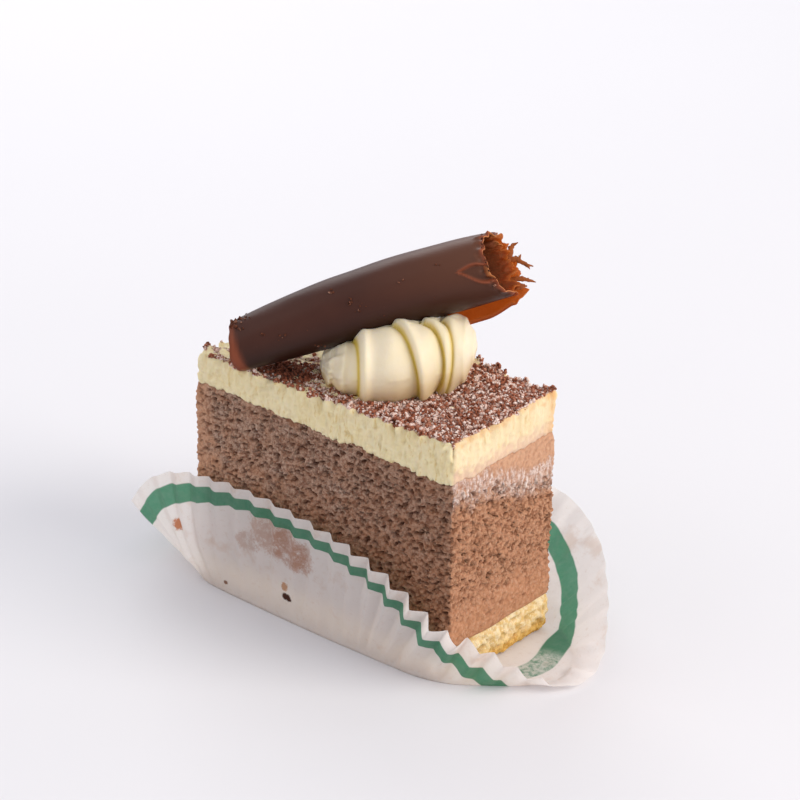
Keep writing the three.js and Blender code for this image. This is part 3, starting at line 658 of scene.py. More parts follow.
# %% Places of the grains
GRAINS_ON_TOP, GRAINS_ON_SIDES, PALE_FROM = 11000, 1600, 0.0
random = np.random.default_rng(51)
ring_size = np.repeat(1 - np.arange(1, TOP_RINGS + 1) / TOP_RINGS * 0.985, columns)
weight = np.clip(top_cocoa - 0.25, 0, 1) ** 1.3 * ring_size
picked = random.choice(len(weight), GRAINS_ON_TOP, p=weight / weight.sum())
jitter = np.column_stack([random.uniform(-0.3, 0.3, (GRAINS_ON_TOP, 2)), np.zeros(GRAINS_ON_TOP)])
spots_on_top = cream_points[-TOP_RINGS * columns:][picked] + jitter
side_points = cream_points[len(CLOSING_RINGS) * columns:-TOP_RINGS * columns]
side_weight = np.clip(side_cocoa.ravel() - 0.25, 0, 1)
picked = random.choice(len(side_weight), GRAINS_ON_SIDES, p=side_weight / side_weight.sum())
every_spot = np.vstack([spots_on_top, side_points[picked]])
print(len(every_spot), "grains")

# %% Cocoa and sugar grains
pale_patches = grain(54, 3.6, 3.6)(every_spot[:, 0] + 60, every_spot[:, 1] + 40)
# pale grains are kept out of the roll's painted shadow
paleness = pale_patches + random.normal(0, 0.7, len(every_spot)) - 3 * painted_roll_shadow(every_spot)
pale = paleness > PALE_FROM
dark_spots, pale_spots = every_spot[~pale], every_spot[pale]
cocoa_powder = powder_material("cocoa_powder", "#4a2116", "#a05f45", "#d0a08c", 0.55)
# the cocoa grains are darkened in the roll's painted shadow
strew("cocoa_grains", dark_spots, random.uniform(0.3, 1.0, len(dark_spots)), 52, cocoa_powder,
      "cream_cheese", painted_roll_shadow(dark_spots))
powdered_sugar = powder_material("powdered_sugar", "#cfa796", "#e3cabf", "#f8eee9", 0.4)
strew("sugar_grains", pale_spots, random.uniform(0.3, 0.85, len(pale_spots)), 53, powdered_sugar,
      "cream_cheese")

# %% [markdown]
# ## Piped swirl
# Whipped cream piped through a plain nozzle in one winding stroke: a large smooth first lobe,
# then folds that lean over each other. A coiled tube would show its inside, so the swirl is one skin:
# rows give its half width, top, underside and sideways shift at places along it, and each fold is
# cut in where it slides down under the next one.


# %% Whipped cream material
def whipped_cream_material():
    """Whipped cream is smooth and translucent, so its folds glow. Its creases and its lower part are painted
    yellow and darker as shade.
    """
    made, node, (low, crease) = new_material("whipped_cream", "low", "crease")
    colour = layered(
        node, linear("#e6d7b6"), (spots(node, 9.0, 3.0), linear("#ede2cc")), (low, linear("#cfae78")),
        (crease, linear("#d2b552")))
    skin = node("Bump", {"Height": spots(node, 1.6, 4.0, 0.55), "Distance": 0.12 * MM, "Strength": 0.7})
    shader = node("BsdfPrincipled", {
        "Base Color": colour, "Roughness": 0.5, "Normal": skin, "IOR": 1.45,
        "Specular IOR Level": 0.3, "Subsurface Weight": 0.45, "Subsurface Radius": (1.0, 0.85, 0.45),
        "Subsurface Scale": 2.5 * MM})
    node("OutputMaterial", {"Surface": shader})
    return made


# %% Swirl: rows along it
SWIRL_ORIGIN = np.array([2.7, -5.0])
SWIRL_ROWS = np.array([  # along, half width, top, underside, shift towards the near side
    (-13.6, 0.8, 2.8, 1.2, -4.5), (-12.6, 4.4, 6.0, -1.0, -3.8), (-10.2, 7.2, 8.8, -3.0, -1.4),
    (-6.0, 9.6, 13.2, -4.0, 1.6), (0.0, 11.9, 17.0, -5.0, 3.2), (7.0, 12.4, 19.4, -5.0, 3.6),
    (14.0, 12.0, 19.6, -4.5, 2.8), (20.0, 10.8, 19.2, -3.0, 1.0), (25.0, 9.0, 17.6, 0.0, -0.8),
    (27.6, 5.4, 14.0, 5.0, -1.4), (28.4, 1.0, 10.5, 9.0, -1.6)])
along = np.concatenate([[-13.6, -13.3, -13.0], np.linspace(-12.6, 27.4, 150), [27.8, 28.1, 28.4]])
turn = np.linspace(0, 2 * math.pi, 128, endpoint=False)
steps = np.searchsorted(SWIRL_ROWS[:, 0], along, side="right").clip(1, len(SWIRL_ROWS) - 1)
before, after = SWIRL_ROWS[steps - 1], SWIRL_ROWS[steps]
way = smooth(0, 1, (along - before[:, 0]) / (after[:, 0] - before[:, 0]))[:, None]
width, upper_z, lower_z, shift = blend(before[:, 1:], after[:, 1:], way).T[:, :, None]
along, turn = along[:, None], turn[None, :]
up = np.sin(turn)
print("the swirl is", round(float(along[-1, 0] - along[0, 0])), "mm long")

# %% Swirl: creases between the folds
CREASES = [  # place on the crest, depth, how far it bends along at half height and at the foot
    (-4.6, 1.2, 2.5, 0.0), (5.6, 1.2, 6.0, 3.5), (13.2, 1.2, 7.2, -0.5), (18.5, 0.9, 4.5, -1.5)]
CREASE_DEPTH, CREASE_BEFORE, CREASE_AFTER = 1.7, 2.6, 0.6  # it deepens slowly and ends at once
FOLD_RISE, FOLD_PLACE, FOLD_WIDTH, GROOVE_WIDTH = 0.75, 1.9, 1.5, 0.45
crease = groove = folds = 0 * (along + up)
for where, depth, bend, low_bend in CREASES:
    away = along - where - bend * (1 - up ** 2) ** 0.3 - low_bend * (1 - up) / 2
    cut = depth * np.where(away < 0, np.exp(away / CREASE_BEFORE), np.exp(-away / CREASE_AFTER))
    crease = np.maximum(crease, cut)
    groove = np.maximum(groove, depth * np.exp(-(away / GROOVE_WIDTH) ** 2))
    folds = folds + FOLD_RISE * depth * np.exp(-((away - FOLD_PLACE) / FOLD_WIDTH) ** 2)
print("deepest crease:", round(CREASE_DEPTH * float(crease.max()), 1), "mm")

# %% Swirl: its skin
size = np.minimum(1, width / 8)
tail = smooth(-5, -10, along)
stir = grain(61, 9, 9)(along + 0 * turn, 6 * turn + 0 * along)
lumpy = grain(62, 4.5, 4.5)(along + 0 * turn, 8 * turn + 0 * along)
swell = (folds - CREASE_DEPTH * crease + 0.12 * stir + 0.7 * tail * lumpy) * size
across = shift + np.cos(turn) * (width + swell)
rise = (upper_z + lower_z) / 2 + up * ((upper_z - lower_z) / 2 + swell)
flat = ROLL_ALONG[:2] / math.hypot(ROLL_ALONG[0], ROLL_ALONG[1])
ground = SWIRL_ORIGIN + along[:, :, None] * flat + across[..., None] * ROLL_ACROSS[:2]
above_table = cream_top(ground[..., 0]) + np.maximum(rise, -0.4)
skin_points = clear_of_roll(np.concatenate([ground, above_table[..., None]], -1).reshape(-1, 3), 0.1)
rows, columns = crease.shape
first_ring = np.arange(columns)
caps = [first_ring[None, :], first_ring[::-1][None, :] + (rows - 1) * columns]
swirl = make("whipped_swirl", skin_points, [grid_faces(rows, columns)[:, ::-1]] + caps,
             [whipped_cream_material()],
             # crease and low are painted shade: yellow in the grooves, and darker and yellow on the lower
             # side, most at the tail
             marks={"crease": np.clip(0.85 * groove * size + 0.25 * crease * size, 0, 1).ravel(),
                    "low": (smooth(0.35, -0.6, up) * (0.65 + 0.35 * tail)).ravel()})
place(swirl, "whipped_cream", "piped_cream")

# %% [markdown]
# ## Chocolate roll
# A thin sheet of dark chocolate, scraped up so that it curls round itself almost one and a half
# times. The near side is satin from the slab it was spread on, the inside is dull, and light that
# passes the thin torn edge turns it orange. It is one sheet with an outer skin, an inner skin and
# rims, so its open end shows the real turns. The open end is torn.


# %% Chocolate materials
def chocolate_material():
    """Chocolate set on a slab is satin, with a rubbed bloom. Where it is thin, light comes through, and its
    edges are painted orange as that glow.
    """
    made, node, (high, under, edge, thin) = new_material(
        "dark_chocolate_satin", "high", "under", "edge", "thin")
    rubbed = spots(node, 1.5, 6.0, 0.75, (0.35, 0.45, 1.0))
    colour = layered(
        node, linear("#3c2019"), (spots(node, 12.0, 3.0), linear("#4c2b21")),
        # high lays painted light on the top of the high end
        (rubbed, linear("#6d4235"), 0.66, 0.75), (high, linear("#66402f")),
        # under lays painted shade on the underside
        (under, linear("#241009")), (edge, linear("#8f4a30")))
    rough = node("MapRange", {"Value": spots(node, 7.0), "To Min": 0.3, "To Max": 0.46})
    scraped = spots(node, 2.4, 4.0, 0.6, (0.4, 0.5, 1.0))
    skin = node("Bump", {"Height": scraped, "Distance": 0.06 * MM, "Strength": 1.0})
    shader = node("BsdfPrincipled", {
        "Base Color": colour, "Roughness": rough, "Normal": skin, "IOR": 1.46,
        "Specular IOR Level": 0.2})
    glow = node("BsdfTranslucent", {"Color": linear("#e8873a"), "Normal": skin})
    node("OutputMaterial", {"Surface": node("MixShader", {0: thin, 1: shader, 2: glow})})
    return made


def chocolate_inside_material():
    """The side that set in the air is dull and rough, and glows where the sheet is thin. Its orange brown is
    partly its own colour and partly painted light bounced inside the roll, and its edges and the backlit flap
    are painted lighter orange as glow.
    """
    made, node, (edge, thin) = new_material("dark_chocolate_inside", "edge", "thin")
    colour = layered(
        node, linear("#5f2a13"), (spots(node, 3.0, 5.0, 0.7), linear("#8a4522")),
        (edge, linear("#b56f3e")))
    skin = node("Bump", {"Height": spots(node, 1.4, 5.0, 0.7), "Distance": 0.2 * MM, "Strength": 1.0})
    shader = node("BsdfPrincipled", {
        "Base Color": colour, "Roughness": 0.6, "Normal": skin, "IOR": 1.46,
        "Specular IOR Level": 0.3})
    light = layered(node, linear("#e08a3e"), (edge, linear("#ffc47c")))
    glow = node("BsdfTranslucent", {"Color": light, "Normal": skin})
    node("OutputMaterial", {"Surface": node("MixShader", {0: thin, 1: shader, 2: glow})})
    return made


# %% Roll: where the sheet begins and ends
ROLL_FIRST_ANGLE, ROLL_LAST_ANGLE = -231.0, 280.0  # where the sheet starts inside and ends outside
TUCKED_ANGLE = 250.0  # where it ends along the closed part of the roll
FLAP_FROM, FLAP_FULL = 50, 60  # the places along the roll between which the flap comes free
RAGGED_END = np.array([  # degrees round the roll, and how far the sheet runs past its length
    (-90, 4.0), (-80, 3.0), (-65, 3.2), (-40, 2.4), (-25, 1.5), (0, 0.2), (16, -0.7), (33, -0.4),
    (47, -0.7), (72, -0.4), (90, -0.3), (104, 1.0), (112, 0.8), (122, 2.7), (138, 2.0), (152, 2.8),
    (163, 2.2), (172, 3.3), (184, 2.2), (197, 2.9), (209, 3.7), (218, 3.2), (229, 3.9), (236, 2.9),
    (251, 2.2), (262, 4.6), (270, 4.0)])
degrees = np.linspace(ROLL_FIRST_ANGLE, ROLL_LAST_ANGLE, 440)
around = (degrees + 90) % 360 - 90
round_rim = degrees / 6  # in mm or so
torn = grain(71, 1.6, 1.6)(round_rim, 0) * 0.16 + grain(72, 5, 5)(round_rim, 0) * 0.45
far_side = smooth(120, 160, around) + smooth(-40, -80, around)
ragged = np.interp(around, RAGGED_END[:, 0], RAGGED_END[:, 1])
end = ROLL_LENGTH + ragged + torn * (0.35 + 0.9 * far_side)
start = 0.1 * grain(73, 6, 6)(round_rim, 0) - 1.9 * np.exp(-((around - 5) / 55) ** 2)
share = 1 - (1 - np.linspace(0, 1, 96)[:, None]) ** 1.35
along = start + (end - start) * share
from_end = (1 - share) * (end - start)
tucked = np.linspace(ROLL_FIRST_ANGLE, TUCKED_ANGLE, 440)
degrees = blend(tucked, degrees, smooth(FLAP_FROM, FLAP_FULL, along))
print("the sheet goes round", round((ROLL_LAST_ANGLE - ROLL_FIRST_ANGLE) / 360, 2), "times")

# %% Roll: turns, flap and flake
TURN_GAP = 2.4  # how much deeper the inner turn lies
FLAP_RISE, FLAP_ANGLE = 4.5, 75.0
inner_turn = 1 - smooth(-125, -65, degrees)
near_edge = smooth(ROLL_LAST_ANGLE - FLAP_ANGLE, ROLL_LAST_ANGLE, degrees)
lift = FLAP_RISE * near_edge * smooth(52, 60, along) * (1 - 0.55 * smooth(66, 78, along))
wave = 0.05 * grain(74, 24, 12)(along, degrees / 6)
middle = roll_radius(along) - ROLL_SHEET / 2 - TURN_GAP * inner_turn + lift + wave
thick = ROLL_SHEET / 2 * blend(0.3, 1, smooth(0, 2.5, from_end)) * np.ones_like(along)
# a flake has come off near the tear: a shallow dent with a thin raised rim, pointed at its low end
flake_axis = 28 - 14 * smooth(64, 73, along)
flake_width = 16 * smooth(63.5, 70, along)
flake = np.abs(degrees - flake_axis) / np.maximum(flake_width, 0.1)
inside_flake = smooth(63.8, 65.5, along) * (1 - smooth(0.8, 1.0, flake))
flake_rim = smooth(63.6, 64.6, along) * np.exp(-((flake - 1) * np.maximum(flake_width, 1) / 2.6) ** 2)
flare = 0.3 * smooth(4, 0, from_end) * grain(75, 4, 4)(along, degrees / 6)
skin_radius = middle + thick + flare - 0.8 * inside_flake + 0.35 * flake_rim
outer = roll_point(along, degrees, skin_radius).reshape(-1, 3)
inner = roll_point(along, degrees, middle - thick + flare).reshape(-1, 3)
print("the sheet is", ROLL_SHEET, "mm thick, and", round(2 * float(thick.min()), 2), "mm at the tear")

# %% Roll: tones
# edge and backlit are painted glow of light through the thin sheet: orange at the tear, the low end, the
# flake's rim and the flap
edge = smooth(1.6, 0, from_end) + 0.75 * smooth(1.9, 0, along)
flap = smooth(ROLL_LAST_ANGLE - 100, ROLL_LAST_ANGLE - 40, degrees)
backlit = smooth(7, 1, from_end) * far_side + 2 * flap
edge_inside = np.clip(edge + 0.45 * backlit, 0, 1)
edge_outside = np.clip(edge + 0.7 * flake_rim, 0, 1)
thin = 0.6 * np.clip(backlit, 0, 1)
# high is painted light: the high end is lightened, most on its top
high = 0.7 * smooth(30, 73, along) * (0.5 + 0.5 * smooth(-30, 60, degrees))
# under is painted shade: the underside is darkened, less towards the high end
under = 0.9 * smooth(30, -45, (degrees + 90) % 360 - 90) * (1 - 0.5 * smooth(50, 70, along))
print("light comes through", round(100 * float((thin > 0.3).mean())), "% of the sheet")

# %% Roll: mesh
rows, columns = along.shape
count = rows * columns
faces = grid_faces(rows, columns, wrap=False)
low_edge = np.arange(columns - 1)
high_edge = low_edge + (rows - 1) * columns
first_side = np.arange(rows - 1) * columns
last_side = first_side + columns - 1
rims = [np.stack([b, a, a + count, b + count], -1) for a, b in (
    (low_edge, low_edge + 1), (high_edge + 1, high_edge), (first_side + columns, first_side),
    (last_side, last_side + columns))]
blocks = [faces[:, ::-1], faces + count] + [rim[:, ::-1] for rim in rims]
kinds = np.concatenate([np.full(len(block), kind) for block, kind in zip(blocks, (0, 1, 1, 1, 1, 1))])
roll = make("chocolate_curl", np.vstack([outer, inner]), blocks,
            [chocolate_material(), chocolate_inside_material()], kinds,
            marks={"edge": np.concatenate([edge_outside.ravel(), edge_inside.ravel()]),
                   "high": np.tile(high.ravel(), 2), "under": np.tile(under.ravel(), 2),
                   "thin": np.tile(thin.ravel(), 2)})
place(roll, "dark_chocolate", "chocolate_roll")

# %% [markdown]
# ## Splinters and crumbs of the roll
# Where the sheet tore, thin splinters stand out from the far rim. Each is a flat tapering strip
# along a few places on the roll: distance along it, degrees round it and radius. Crumbs and short
# shavings stick to the skin and lie in a little heap at the top of the low end. They are strewn like
# the cocoa.

# %% Splinters
STRIP_PLACES, STRIP_SIDES = 14, 8
SPLINTERS = [  # places, and the width in mm at the root
    ([(74.2, 199, 7.6), (75.6, 194, 7.7), (76.8, 180, 8.2), (77.8, 175, 8.6), (79.2, 172, 8.4)], 2.0),
    ([(75.6, 200, 7.6), (77.2, 201, 7.7), (78.4, 209, 7.8), (79.6, 218, 7.8), (81.1, 223, 8.2)], 1.7),
    ([(79.2, 215, 7.8), (79.9, 222, 7.6), (80.2, 230, 7.4)], 1.0),
    ([(77.6, 204, 7.7), (78.4, 199, 7.9), (78.9, 195, 8.1)], 1.0),
    ([(74.6, 244, 7.6), (76.4, 243, 7.6), (78.2, 248, 7.8), (79.6, 253, 8.2), (80.9, 257, 8.6)], 1.9),
    ([(75.4, 262, 7.9), (77.4, 264, 8.2), (78.6, 265, 8.4)], 3.2)]
strip_points, strip_faces = [], []
for path, width in SPLINTERS:
    path = np.array(path, float)
    t = np.linspace(0, len(path) - 1, STRIP_PLACES)
    along, degrees, radius = [np.interp(t, range(len(path)), path[:, k]) for k in range(3)]
    line = roll_point(along, degrees, radius)
    forward = np.gradient(line, axis=0)
    forward /= np.linalg.norm(forward, axis=1)[:, None]
    skin_out = roll_point(along, degrees, radius + 1) - line
    sideways = np.cross(forward, skin_out)
    sideways /= np.linalg.norm(sideways, axis=1)[:, None]
    taper = (1 - (t / t[-1]) ** 1.6) * 0.85 + 0.15
    start = sum(len(block) for block in strip_points)
    for k, angle in enumerate(np.linspace(0, 2 * math.pi, STRIP_SIDES, endpoint=False)):
        ragged = 1 + 0.25 * grain(76 + k, 1.6, 1.6)(t * 3 + 7 * width, 0 * t)
        strip = line + sideways * (math.cos(angle) * 0.5 * width * taper * ragged)[:, None]
        strip_points.append(strip + skin_out * (math.sin(angle) * 0.26 * taper ** 0.5)[:, None])
    along_strip = np.arange(STRIP_PLACES - 1)[:, None]
    here = np.arange(STRIP_SIDES)[None, :] * STRIP_PLACES + along_strip
    there = (np.arange(STRIP_SIDES)[None, :] + 1) % STRIP_SIDES * STRIP_PLACES + along_strip
    strip_faces.append(np.stack([here, here + 1, there + 1, there], -1).reshape(-1, 4) + start)
    ring = np.arange(STRIP_SIDES)[None, :] * STRIP_PLACES + start
    strip_faces += [ring[:, ::-1], ring + STRIP_PLACES - 1]
# the splinters' edge mark paints them orange as glow of light through them
splinters = make(
    "chocolate_splinters", np.vstack(strip_points), strip_faces, [chocolate_inside_material()],
    marks={"edge": np.full(STRIP_PLACES * STRIP_SIDES * len(SPLINTERS), 0.6),
           "thin": np.full(STRIP_PLACES * STRIP_SIDES * len(SPLINTERS), 0.35)})
place(splinters, "dark_chocolate")

# %% Crumbs of chocolate
IN_HEAP, ON_RIM, ROUND_SHAVINGS = 34, 26, 60
SHAVINGS = [  # along the roll in mm, and degrees round it
    (3, 55), (14, 8), (22.4, -31), (20.5, 10), (36.6, 26), (33.4, 37), (36.3, 11), (44.6, 23),
    (49.9, 40), (59.4, 48), (30, 60), (41, -5), (37.4, 19), (35, 31), (56, -8), (9, 30)]
random = np.random.default_rng(77)
heap = np.column_stack([random.normal(2.0, 1.6, IN_HEAP).clip(0.2, 6), random.normal(86, 10, IN_HEAP)])
rim_crumbs = np.column_stack([random.uniform(72.0, 72.6, ON_RIM), random.uniform(-20, 100, ON_RIM)])
near_shavings = np.array(SHAVINGS)[random.integers(0, len(SHAVINGS), ROUND_SHAVINGS)]
near_shavings = near_shavings + random.normal(0, 1, (ROUND_SHAVINGS, 2)) * [0.8, 3]
along, degrees = np.vstack([heap, rim_crumbs, near_shavings]).T
where = roll_point(along, degrees, roll_radius(along))
sizes = np.concatenate([random.uniform(low, high, count) for low, high, count in (
    (0.4, 1.0, IN_HEAP), (0.3, 0.7, ON_RIM), (0.25, 0.75, ROUND_SHAVINGS))])
crumb = powder_material("chocolate_crumb", "#38190f", "#613726", "#9d7462", 0.7)
strew("chocolate_crumbs", where, sizes, 78, crumb, "dark_chocolate")

# %% [markdown]
# ## Paper case
# A disc of thin greaseproof paper, pressed into flutes. It was pulled open by hand: upright along
# the slice, flat on the table at the near end. A cloth simulation would fold it differently each
# time, so two smooth closed curves hold it: where it leaves the table, and its rim. The sheet runs
# between them in zigzag pleats. The print is a green band a set distance from the rim.

# %% Stains and worn print
STAINS = [  # where grease or chocolate touched the paper: place in mm, radius, colour, how strong
    ((-49.3, -24.0, 16.2), 1.7, "#c9733a", 0.9), ((-16.0, -24.2, 25.5), 6.0, "#d0a892", 0.7),
    ((-9.0, -24.2, 23.5), 5.5, "#c6937a", 0.7), ((-4.0, -24.1, 22.0), 4.0, "#c9987e", 0.7),
    ((-24.0, -24.1, 20.0), 3.0, "#cfae9c", 0.6), ((-32.4, -23.6, 3.7), 0.6, "#8a5a3c", 0.9),
    ((-10.8, -23.8, 10.6), 1.1, "#c88a52", 0.8), ((-10.5, -23.7, 7.8), 0.9, "#4a2418", 1.0),
    ((-9.3, -23.7, 7.6), 1.0, "#4a2418", 1.0)]
LARGE_STAIN = 2.5  # from this radius up, a stain is blotchy
GREASE_SHEEN = (57.5, 2.5, 3.0)  # here the print gives way to white in flecks, as a painted sheen of grease on the band
print(len(STAINS), "stains")


# %% Paper material
def paper_material():
    """Greaseproof paper is thin and lets half the light through. Grease and chocolate stain it."""
    made, node, (printed,) = new_material("fluted_greaseproof_paper", "print")
    at = node("TexCoord", out="Object")
    sheet = layered(
        node, linear("#fffcfa"), (spots(node, 14.0, 4.0), linear("#fbf5f1")),
        (spots(node, 11.0, 5.0, 0.6), linear("#f1e4db"), 0.56, 0.72),
        (spots(node, 1.6, 5.0, 0.8), linear("#efe4dc"), 0.52, 0.8))
    for middle, radius, colour, strength in STAINS:
        middle, soft = tuple(v * MM for v in middle), radius * 0.25 * MM
        away = node("VectorMath", {0: at, 1: middle}, "Value", operation="DISTANCE")
        torn = spots(node, max(1.0, radius * 0.5), 6.0, 0.85)
        torn = node("Math", {0: torn, 1: radius * 2.2 * MM}, operation="MULTIPLY")
        outside = node("Math", {0: away, 1: torn}, operation="SUBTRACT")
        here = {"Value": outside, "From Min": soft, "From Max": -soft, "To Max": strength}
        here = node("MapRange", here, **SOFT)
        if radius >= LARGE_STAIN:
            blotch = {"Value": spots(node, 1.8, 6.0, 0.8), "From Min": 0.28, "From Max": 0.56}
            here = node("Math", {0: here, 1: node("MapRange", blotch, **SOFT)}, operation="MULTIPLY")
        sheet = layered(node, sheet, (here, linear(colour)))
    begun = node("MapRange", {"Value": printed, "From Min": -0.04, "From Max": 0.04}, **SOFT)
    unfinished = node("MapRange", {"Value": printed, "From Min": 1.04, "From Max": 0.96}, **SOFT)
    worn = {"Value": spots(node, 2.5, 5.0, 0.7), "To Min": 0.82, "To Max": 1.0}
    # round this spot the ink is thinned in flecks: a painted sheen of grease on the band
    away = node("VectorMath", {0: at, 1: tuple(v * MM for v in GREASE_SHEEN)}, "Value", operation="DISTANCE")
    near = node("MapRange", {"Value": away, "From Min": 13 * MM, "From Max": 7 * MM}, **SOFT)
    sheen_flecks = {"Value": spots(node, 2.0, 6.0, 0.8), "From Min": 0.3, "From Max": 0.6, "To Max": 0.75}
    sheen = node("Math", {0: near, 1: node("MapRange", sheen_flecks, **SOFT)}, operation="MULTIPLY")
    clear_of_sheen = node("Math", {0: 1.0, 1: sheen}, operation="SUBTRACT")
    ink = begun
    for share in (unfinished, node("MapRange", worn), clear_of_sheen):
        ink = node("Math", {0: ink, 1: share}, operation="MULTIPLY")
    green = layered(node, linear("#358a67"), (spots(node, 5.0), linear("#489b77")))
    colour = layered(node, sheet, (ink, green))
    skin = node("Bump", {"Height": spots(node, 5.0, 5.0, 0.6), "Distance": 0.35 * MM, "Strength": 0.5})
    shader = node("BsdfPrincipled", {
        "Base Color": colour, "Roughness": 0.5, "Normal": skin, "IOR": 1.45, "Specular IOR Level": 0.4})
    through = node("BsdfTranslucent", {"Color": colour, "Normal": skin})
    node("OutputMaterial", {"Surface": node("MixShader", {0: 0.5, 1: shader, 2: through})})
    return made


# %% Paper case: its two curves
STATIONS = np.array([  # foot x, y, rim x, y, z, pleat depth, the print's distance from the rim and width
    (-47.3, 0, -68, 0, 11, 0.7, 4.0, 5.6), (-46.8, -17.5, -66.5, -24.6, 17, 0.8, 4.0, 5.6),
    (-44.5, -20.8, -60.5, -24.8, 26, 0.9, 3.6, 5.8), (-41, -22.4, -51.5, -24, 31.3, 0.9, 3.2, 5.6),
    (-34, -23.1, -38, -24.2, 34.3, 0.9, 3.0, 4.3), (-20, -23.4, -20.5, -24.4, 35.5, 1.0, 3.0, 3.3),
    (-4, -23.5, -1.5, -25, 34.6, 1.1, 3.2, 3.3), (8, -23.4, 11, -26.3, 33.6, 1.3, 3.6, 3.3),
    (14, -23.2, 22.5, -27.6, 32, 1.6, 4.0, 3.4), (20, -23, 33, -27.7, 27.8, 1.9, 4.6, 3.5),
    (28, -22.7, 42.3, -26.4, 21.3, 2.2, 5.2, 3.6), (36, -22, 48.2, -24.6, 17.3, 2.3, 5.6, 3.8),
    (44, -19.3, 52.3, -18.4, 13.8, 2.1, 6.2, 4.2), (51.5, -13.8, 58, -14.5, 10, 1.6, 7.2, 5.2),
    (59, -7.2, 64, -8.8, 4.6, 0.8, 9.2, 6.2), (63.5, -1, 70, -2, 1.6, 0.3, 11.4, 6.8),
    (64, 5, 72, 5, 1.4, 0.25, 12.4, 7.0), (61, 12, 70.3, 13, 2.8, 0.3, 12.6, 7.0),
    (56, 18, 65.5, 21.5, 7, 0.45, 12.2, 7.0), (48, 22.8, 58, 31, 12.5, 0.5, 11.2, 6.6),
    (38, 24, 45.5, 43, 18, 0.5, 9.6, 6.2), (22, 24, 28, 50, 23, 0.6, 8.0, 5.6),
    (0, 24, 2, 44, 27.5, 0.7, 6.0, 5.4), (-22, 24, -25, 42, 27.5, 0.8, 5.0, 5.4),
    (-42.5, 23.3, -50, 37.5, 24, 0.8, 4.2, 5.4), (-47.3, 18, -64, 23, 15, 0.7, 4.0, 5.6)])
PLEATS, PLEAT_POINTS = 52, 12


def closed_curve(points, places):
    """A smooth closed curve through points, at places from 0 to 1, spaced by the roots of their distances."""
    count = len(points)
    far = np.asarray(places) % 1 * count
    i = np.floor(far).astype(int)
    t = (far - i)[:, None]
    p = [points[(i + k) % count] for k in (-1, 0, 1, 2)]
    d = [np.maximum(np.linalg.norm(p[k + 1] - p[k], axis=1), 0.05)[:, None] ** 0.5 for k in range(3)]
    a = ((p[1] - p[0]) / d[0] - (p[2] - p[0]) / (d[0] + d[1]) + (p[2] - p[1]) / d[1]) * d[1]
    b = ((p[2] - p[1]) / d[1] - (p[3] - p[1]) / (d[1] + d[2]) + (p[3] - p[2]) / d[2]) * d[1]
    return p[1] + a * t + (3 * (p[2] - p[1]) - 2 * a - b) * t ** 2 + (2 * (p[1] - p[2]) + a + b) * t ** 3


foot_points = np.column_stack([STATIONS[:, :2], np.zeros(len(STATIONS))])
rim_points = STATIONS[:, 2:5]
fine = np.linspace(0, 1, 6001)
rim_steps = np.linalg.norm(np.diff(closed_curve(rim_points, fine), axis=0), axis=1)
rim_run = np.concatenate([[0], np.cumsum(rim_steps)])
columns = PLEATS * PLEAT_POINTS
along_rim = np.arange(columns) / columns * rim_run[-1]
places = np.interp(along_rim, rim_run, fine)
foot, rim = closed_curve(foot_points, places), closed_curve(rim_points, places)
pleat_depth, band_start, band_width = closed_curve(STATIONS[:, 5:8], places).T
print("the rim is", round(float(rim_run[-1])), "mm round, with", PLEATS, "pleats")

# %% Paper case: pleats and creases
wall = rim - foot
wall_length = np.linalg.norm(wall, axis=1)
upright = wall[:, 2] / wall_length
phase = np.arange(columns) / columns * PLEATS * 2  # whole numbers are crests and hollows in turn
zigzag = 2 / math.pi * np.arcsin(np.clip(np.cos(math.pi * phase), -1, 1) * 0.985)
wrinkle, fine_wrinkle, flutes = grain(81, 9, 16), grain(82, 3.5, 7), grain(83, 7.5, 70)
# the wall swells out at its far corner
bulge = 1.8 * smooth(-20, -40, foot[:, 0]) * smooth(0, -15, foot[:, 1])
print("the wall is", round(float(wall_length.max())), "mm long at most")

# %% Paper case: mesh
WALL_ROWS, SHEET_MIDDLE = 40, 0.175  # half the thickness that the sheet has as a solid
rows_of_points, print_marks = [], []
for share in np.linspace(1, 0, WALL_ROWS):
    line = blend(foot, rim, share)
    inward = np.cross(wall, np.roll(line, -1, axis=0) - np.roll(line, 1, axis=0))
    inward /= np.linalg.norm(inward, axis=1)[:, None]
    depth = pleat_depth * share ** 0.8
    soft = 0.3 * share ** 0.5 * (1 - 0.7 * share) * smooth(0.1, 0.6, upright)
    up_wall = share * wall_length
    ruffle = wrinkle(along_rim, up_wall) * soft + 0.3 * soft * fine_wrinkle(along_rim, up_wall)
    ruffle = ruffle + 0.4 * smooth(0, 0.25, share) * (1 - share) * flutes(along_rim, up_wall)
    ruffle = ruffle - bulge * 4 * share * (1 - share)
    line = line + inward * (depth * zigzag + ruffle)[:, None]
    line[:, 2] += SHEET_MIDDLE + (depth + np.abs(ruffle)) * inward[:, 2]
    rows_of_points.append(line)
    print_marks.append(((1 - share) * wall_length - band_start) / band_width)
for shrink in (0.975, 0.95, 0.92, 0.89, 0.85, 0.8, 0.72, 0.6, 0.35, 0.02):
    line = foot * shrink
    line[:, 2] = SHEET_MIDDLE
    rows_of_points.append(line)
    print_marks.append((wall_length + np.linalg.norm(foot - line, axis=1) - band_start) / band_width)
paper = make("fluted_paper", np.vstack(rows_of_points), [grid_faces(len(rows_of_points), columns)],
             [paper_material()], marks={"print": np.concatenate(print_marks)})
place(paper, "baking_paper", "paper_case")

# %% [markdown]
# ## Table, light and camera
# The slice stands on a plain pale surface. A large soft light stands behind it on the right, as a
# window would, and the room fills the shadows. The camera is far away with a long lens.


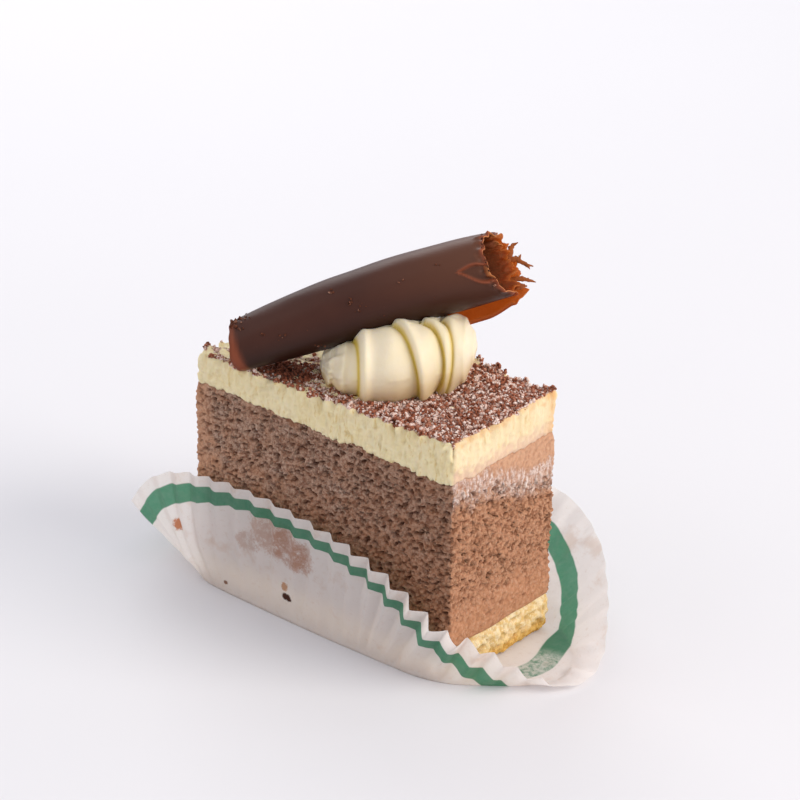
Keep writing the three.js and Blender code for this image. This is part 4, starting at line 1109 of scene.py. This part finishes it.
# %% Table
def table_material():
    """A plain matt table top, pale and slightly violet in the window's light."""
    made, node, _ = new_material("pale_table")
    colour = layered(node, linear("#e0dfe3"), (spots(node, 300.0, 2.0), linear("#e4e3e7")))
    skin = node("Bump", {"Height": spots(node, 0.6), "Distance": 0.01 * MM, "Strength": 1.0})
    shader = node("BsdfPrincipled", {
        "Base Color": colour, "Roughness": 0.7, "Specular IOR Level": 0.2, "Normal": skin})
    node("OutputMaterial", {"Surface": shader})
    return made


TABLE = 6000.0
corners = [(-TABLE, -TABLE, 0), (TABLE, -TABLE, 0), (TABLE, TABLE, 0), (-TABLE, TABLE, 0)]
table = make("table", corners, [np.array([[0, 1, 2, 3]])], [table_material()])
print("the table reaches", TABLE * MM, "m each way")


# %% Lights
def soft_light(name, where, size, power, colour):
    """A square light that faces the slice. Place and size are in metres."""
    lamp = bpy.data.lights.new(name, "AREA")
    lamp.size, lamp.energy, lamp.color = size, power, linear(colour)[:3]
    made = bpy.data.objects.new(name, lamp)
    made.location = where
    made.rotation_euler = (Vector((0, 0, 0.04)) - Vector(where)).to_track_quat("-Z", "Y").to_euler()
    bpy.context.scene.collection.objects.link(made)


soft_light("window_light", (1.28, 0.45, 0.85), 1.0, 18.0, "#fff8ef")
soft_light("back_light", (-0.64, 0.44, 0.5), 0.5, 1.9, "#ffffff")
soft_light("room_light", (-0.9, -1.2, 1.3), 1.4, 4.0, "#fff6f0")
world = bpy.context.scene.world or bpy.data.worlds.new("room")
bpy.context.scene.world = world
world.use_nodes = True
background = world.node_tree.nodes["Background"]
background.inputs["Color"].default_value = linear("#f2f3f8")
background.inputs["Strength"].default_value = 0.8
print("3 soft lights and a pale room")

# %% Camera
PITCH, ROLL_ANGLE, YAW = 27.373, 1.103, 39.831
camera_data = bpy.data.cameras.new("camera")
camera_data.lens, camera_data.sensor_width = 180.0, 36.0
camera = bpy.data.objects.new("camera", camera_data)
turned = (Matrix.Rotation(math.radians(YAW), 4, "Z") @ Matrix.Rotation(math.radians(90 - PITCH), 4, "X")
          @ Matrix.Rotation(math.radians(ROLL_ANGLE), 4, "Z"))
camera.matrix_world = Matrix.Translation((0.61721, -0.728936, 0.557263)) @ turned
bpy.context.scene.collection.objects.link(camera)
bpy.context.scene.camera = camera
bpy.context.scene.view_settings.view_transform = "Standard"
print("camera", round(camera.location.length, 2), "m from the middle of the slice's foot")

# %% Finish
bpy.context.view_layer.update()
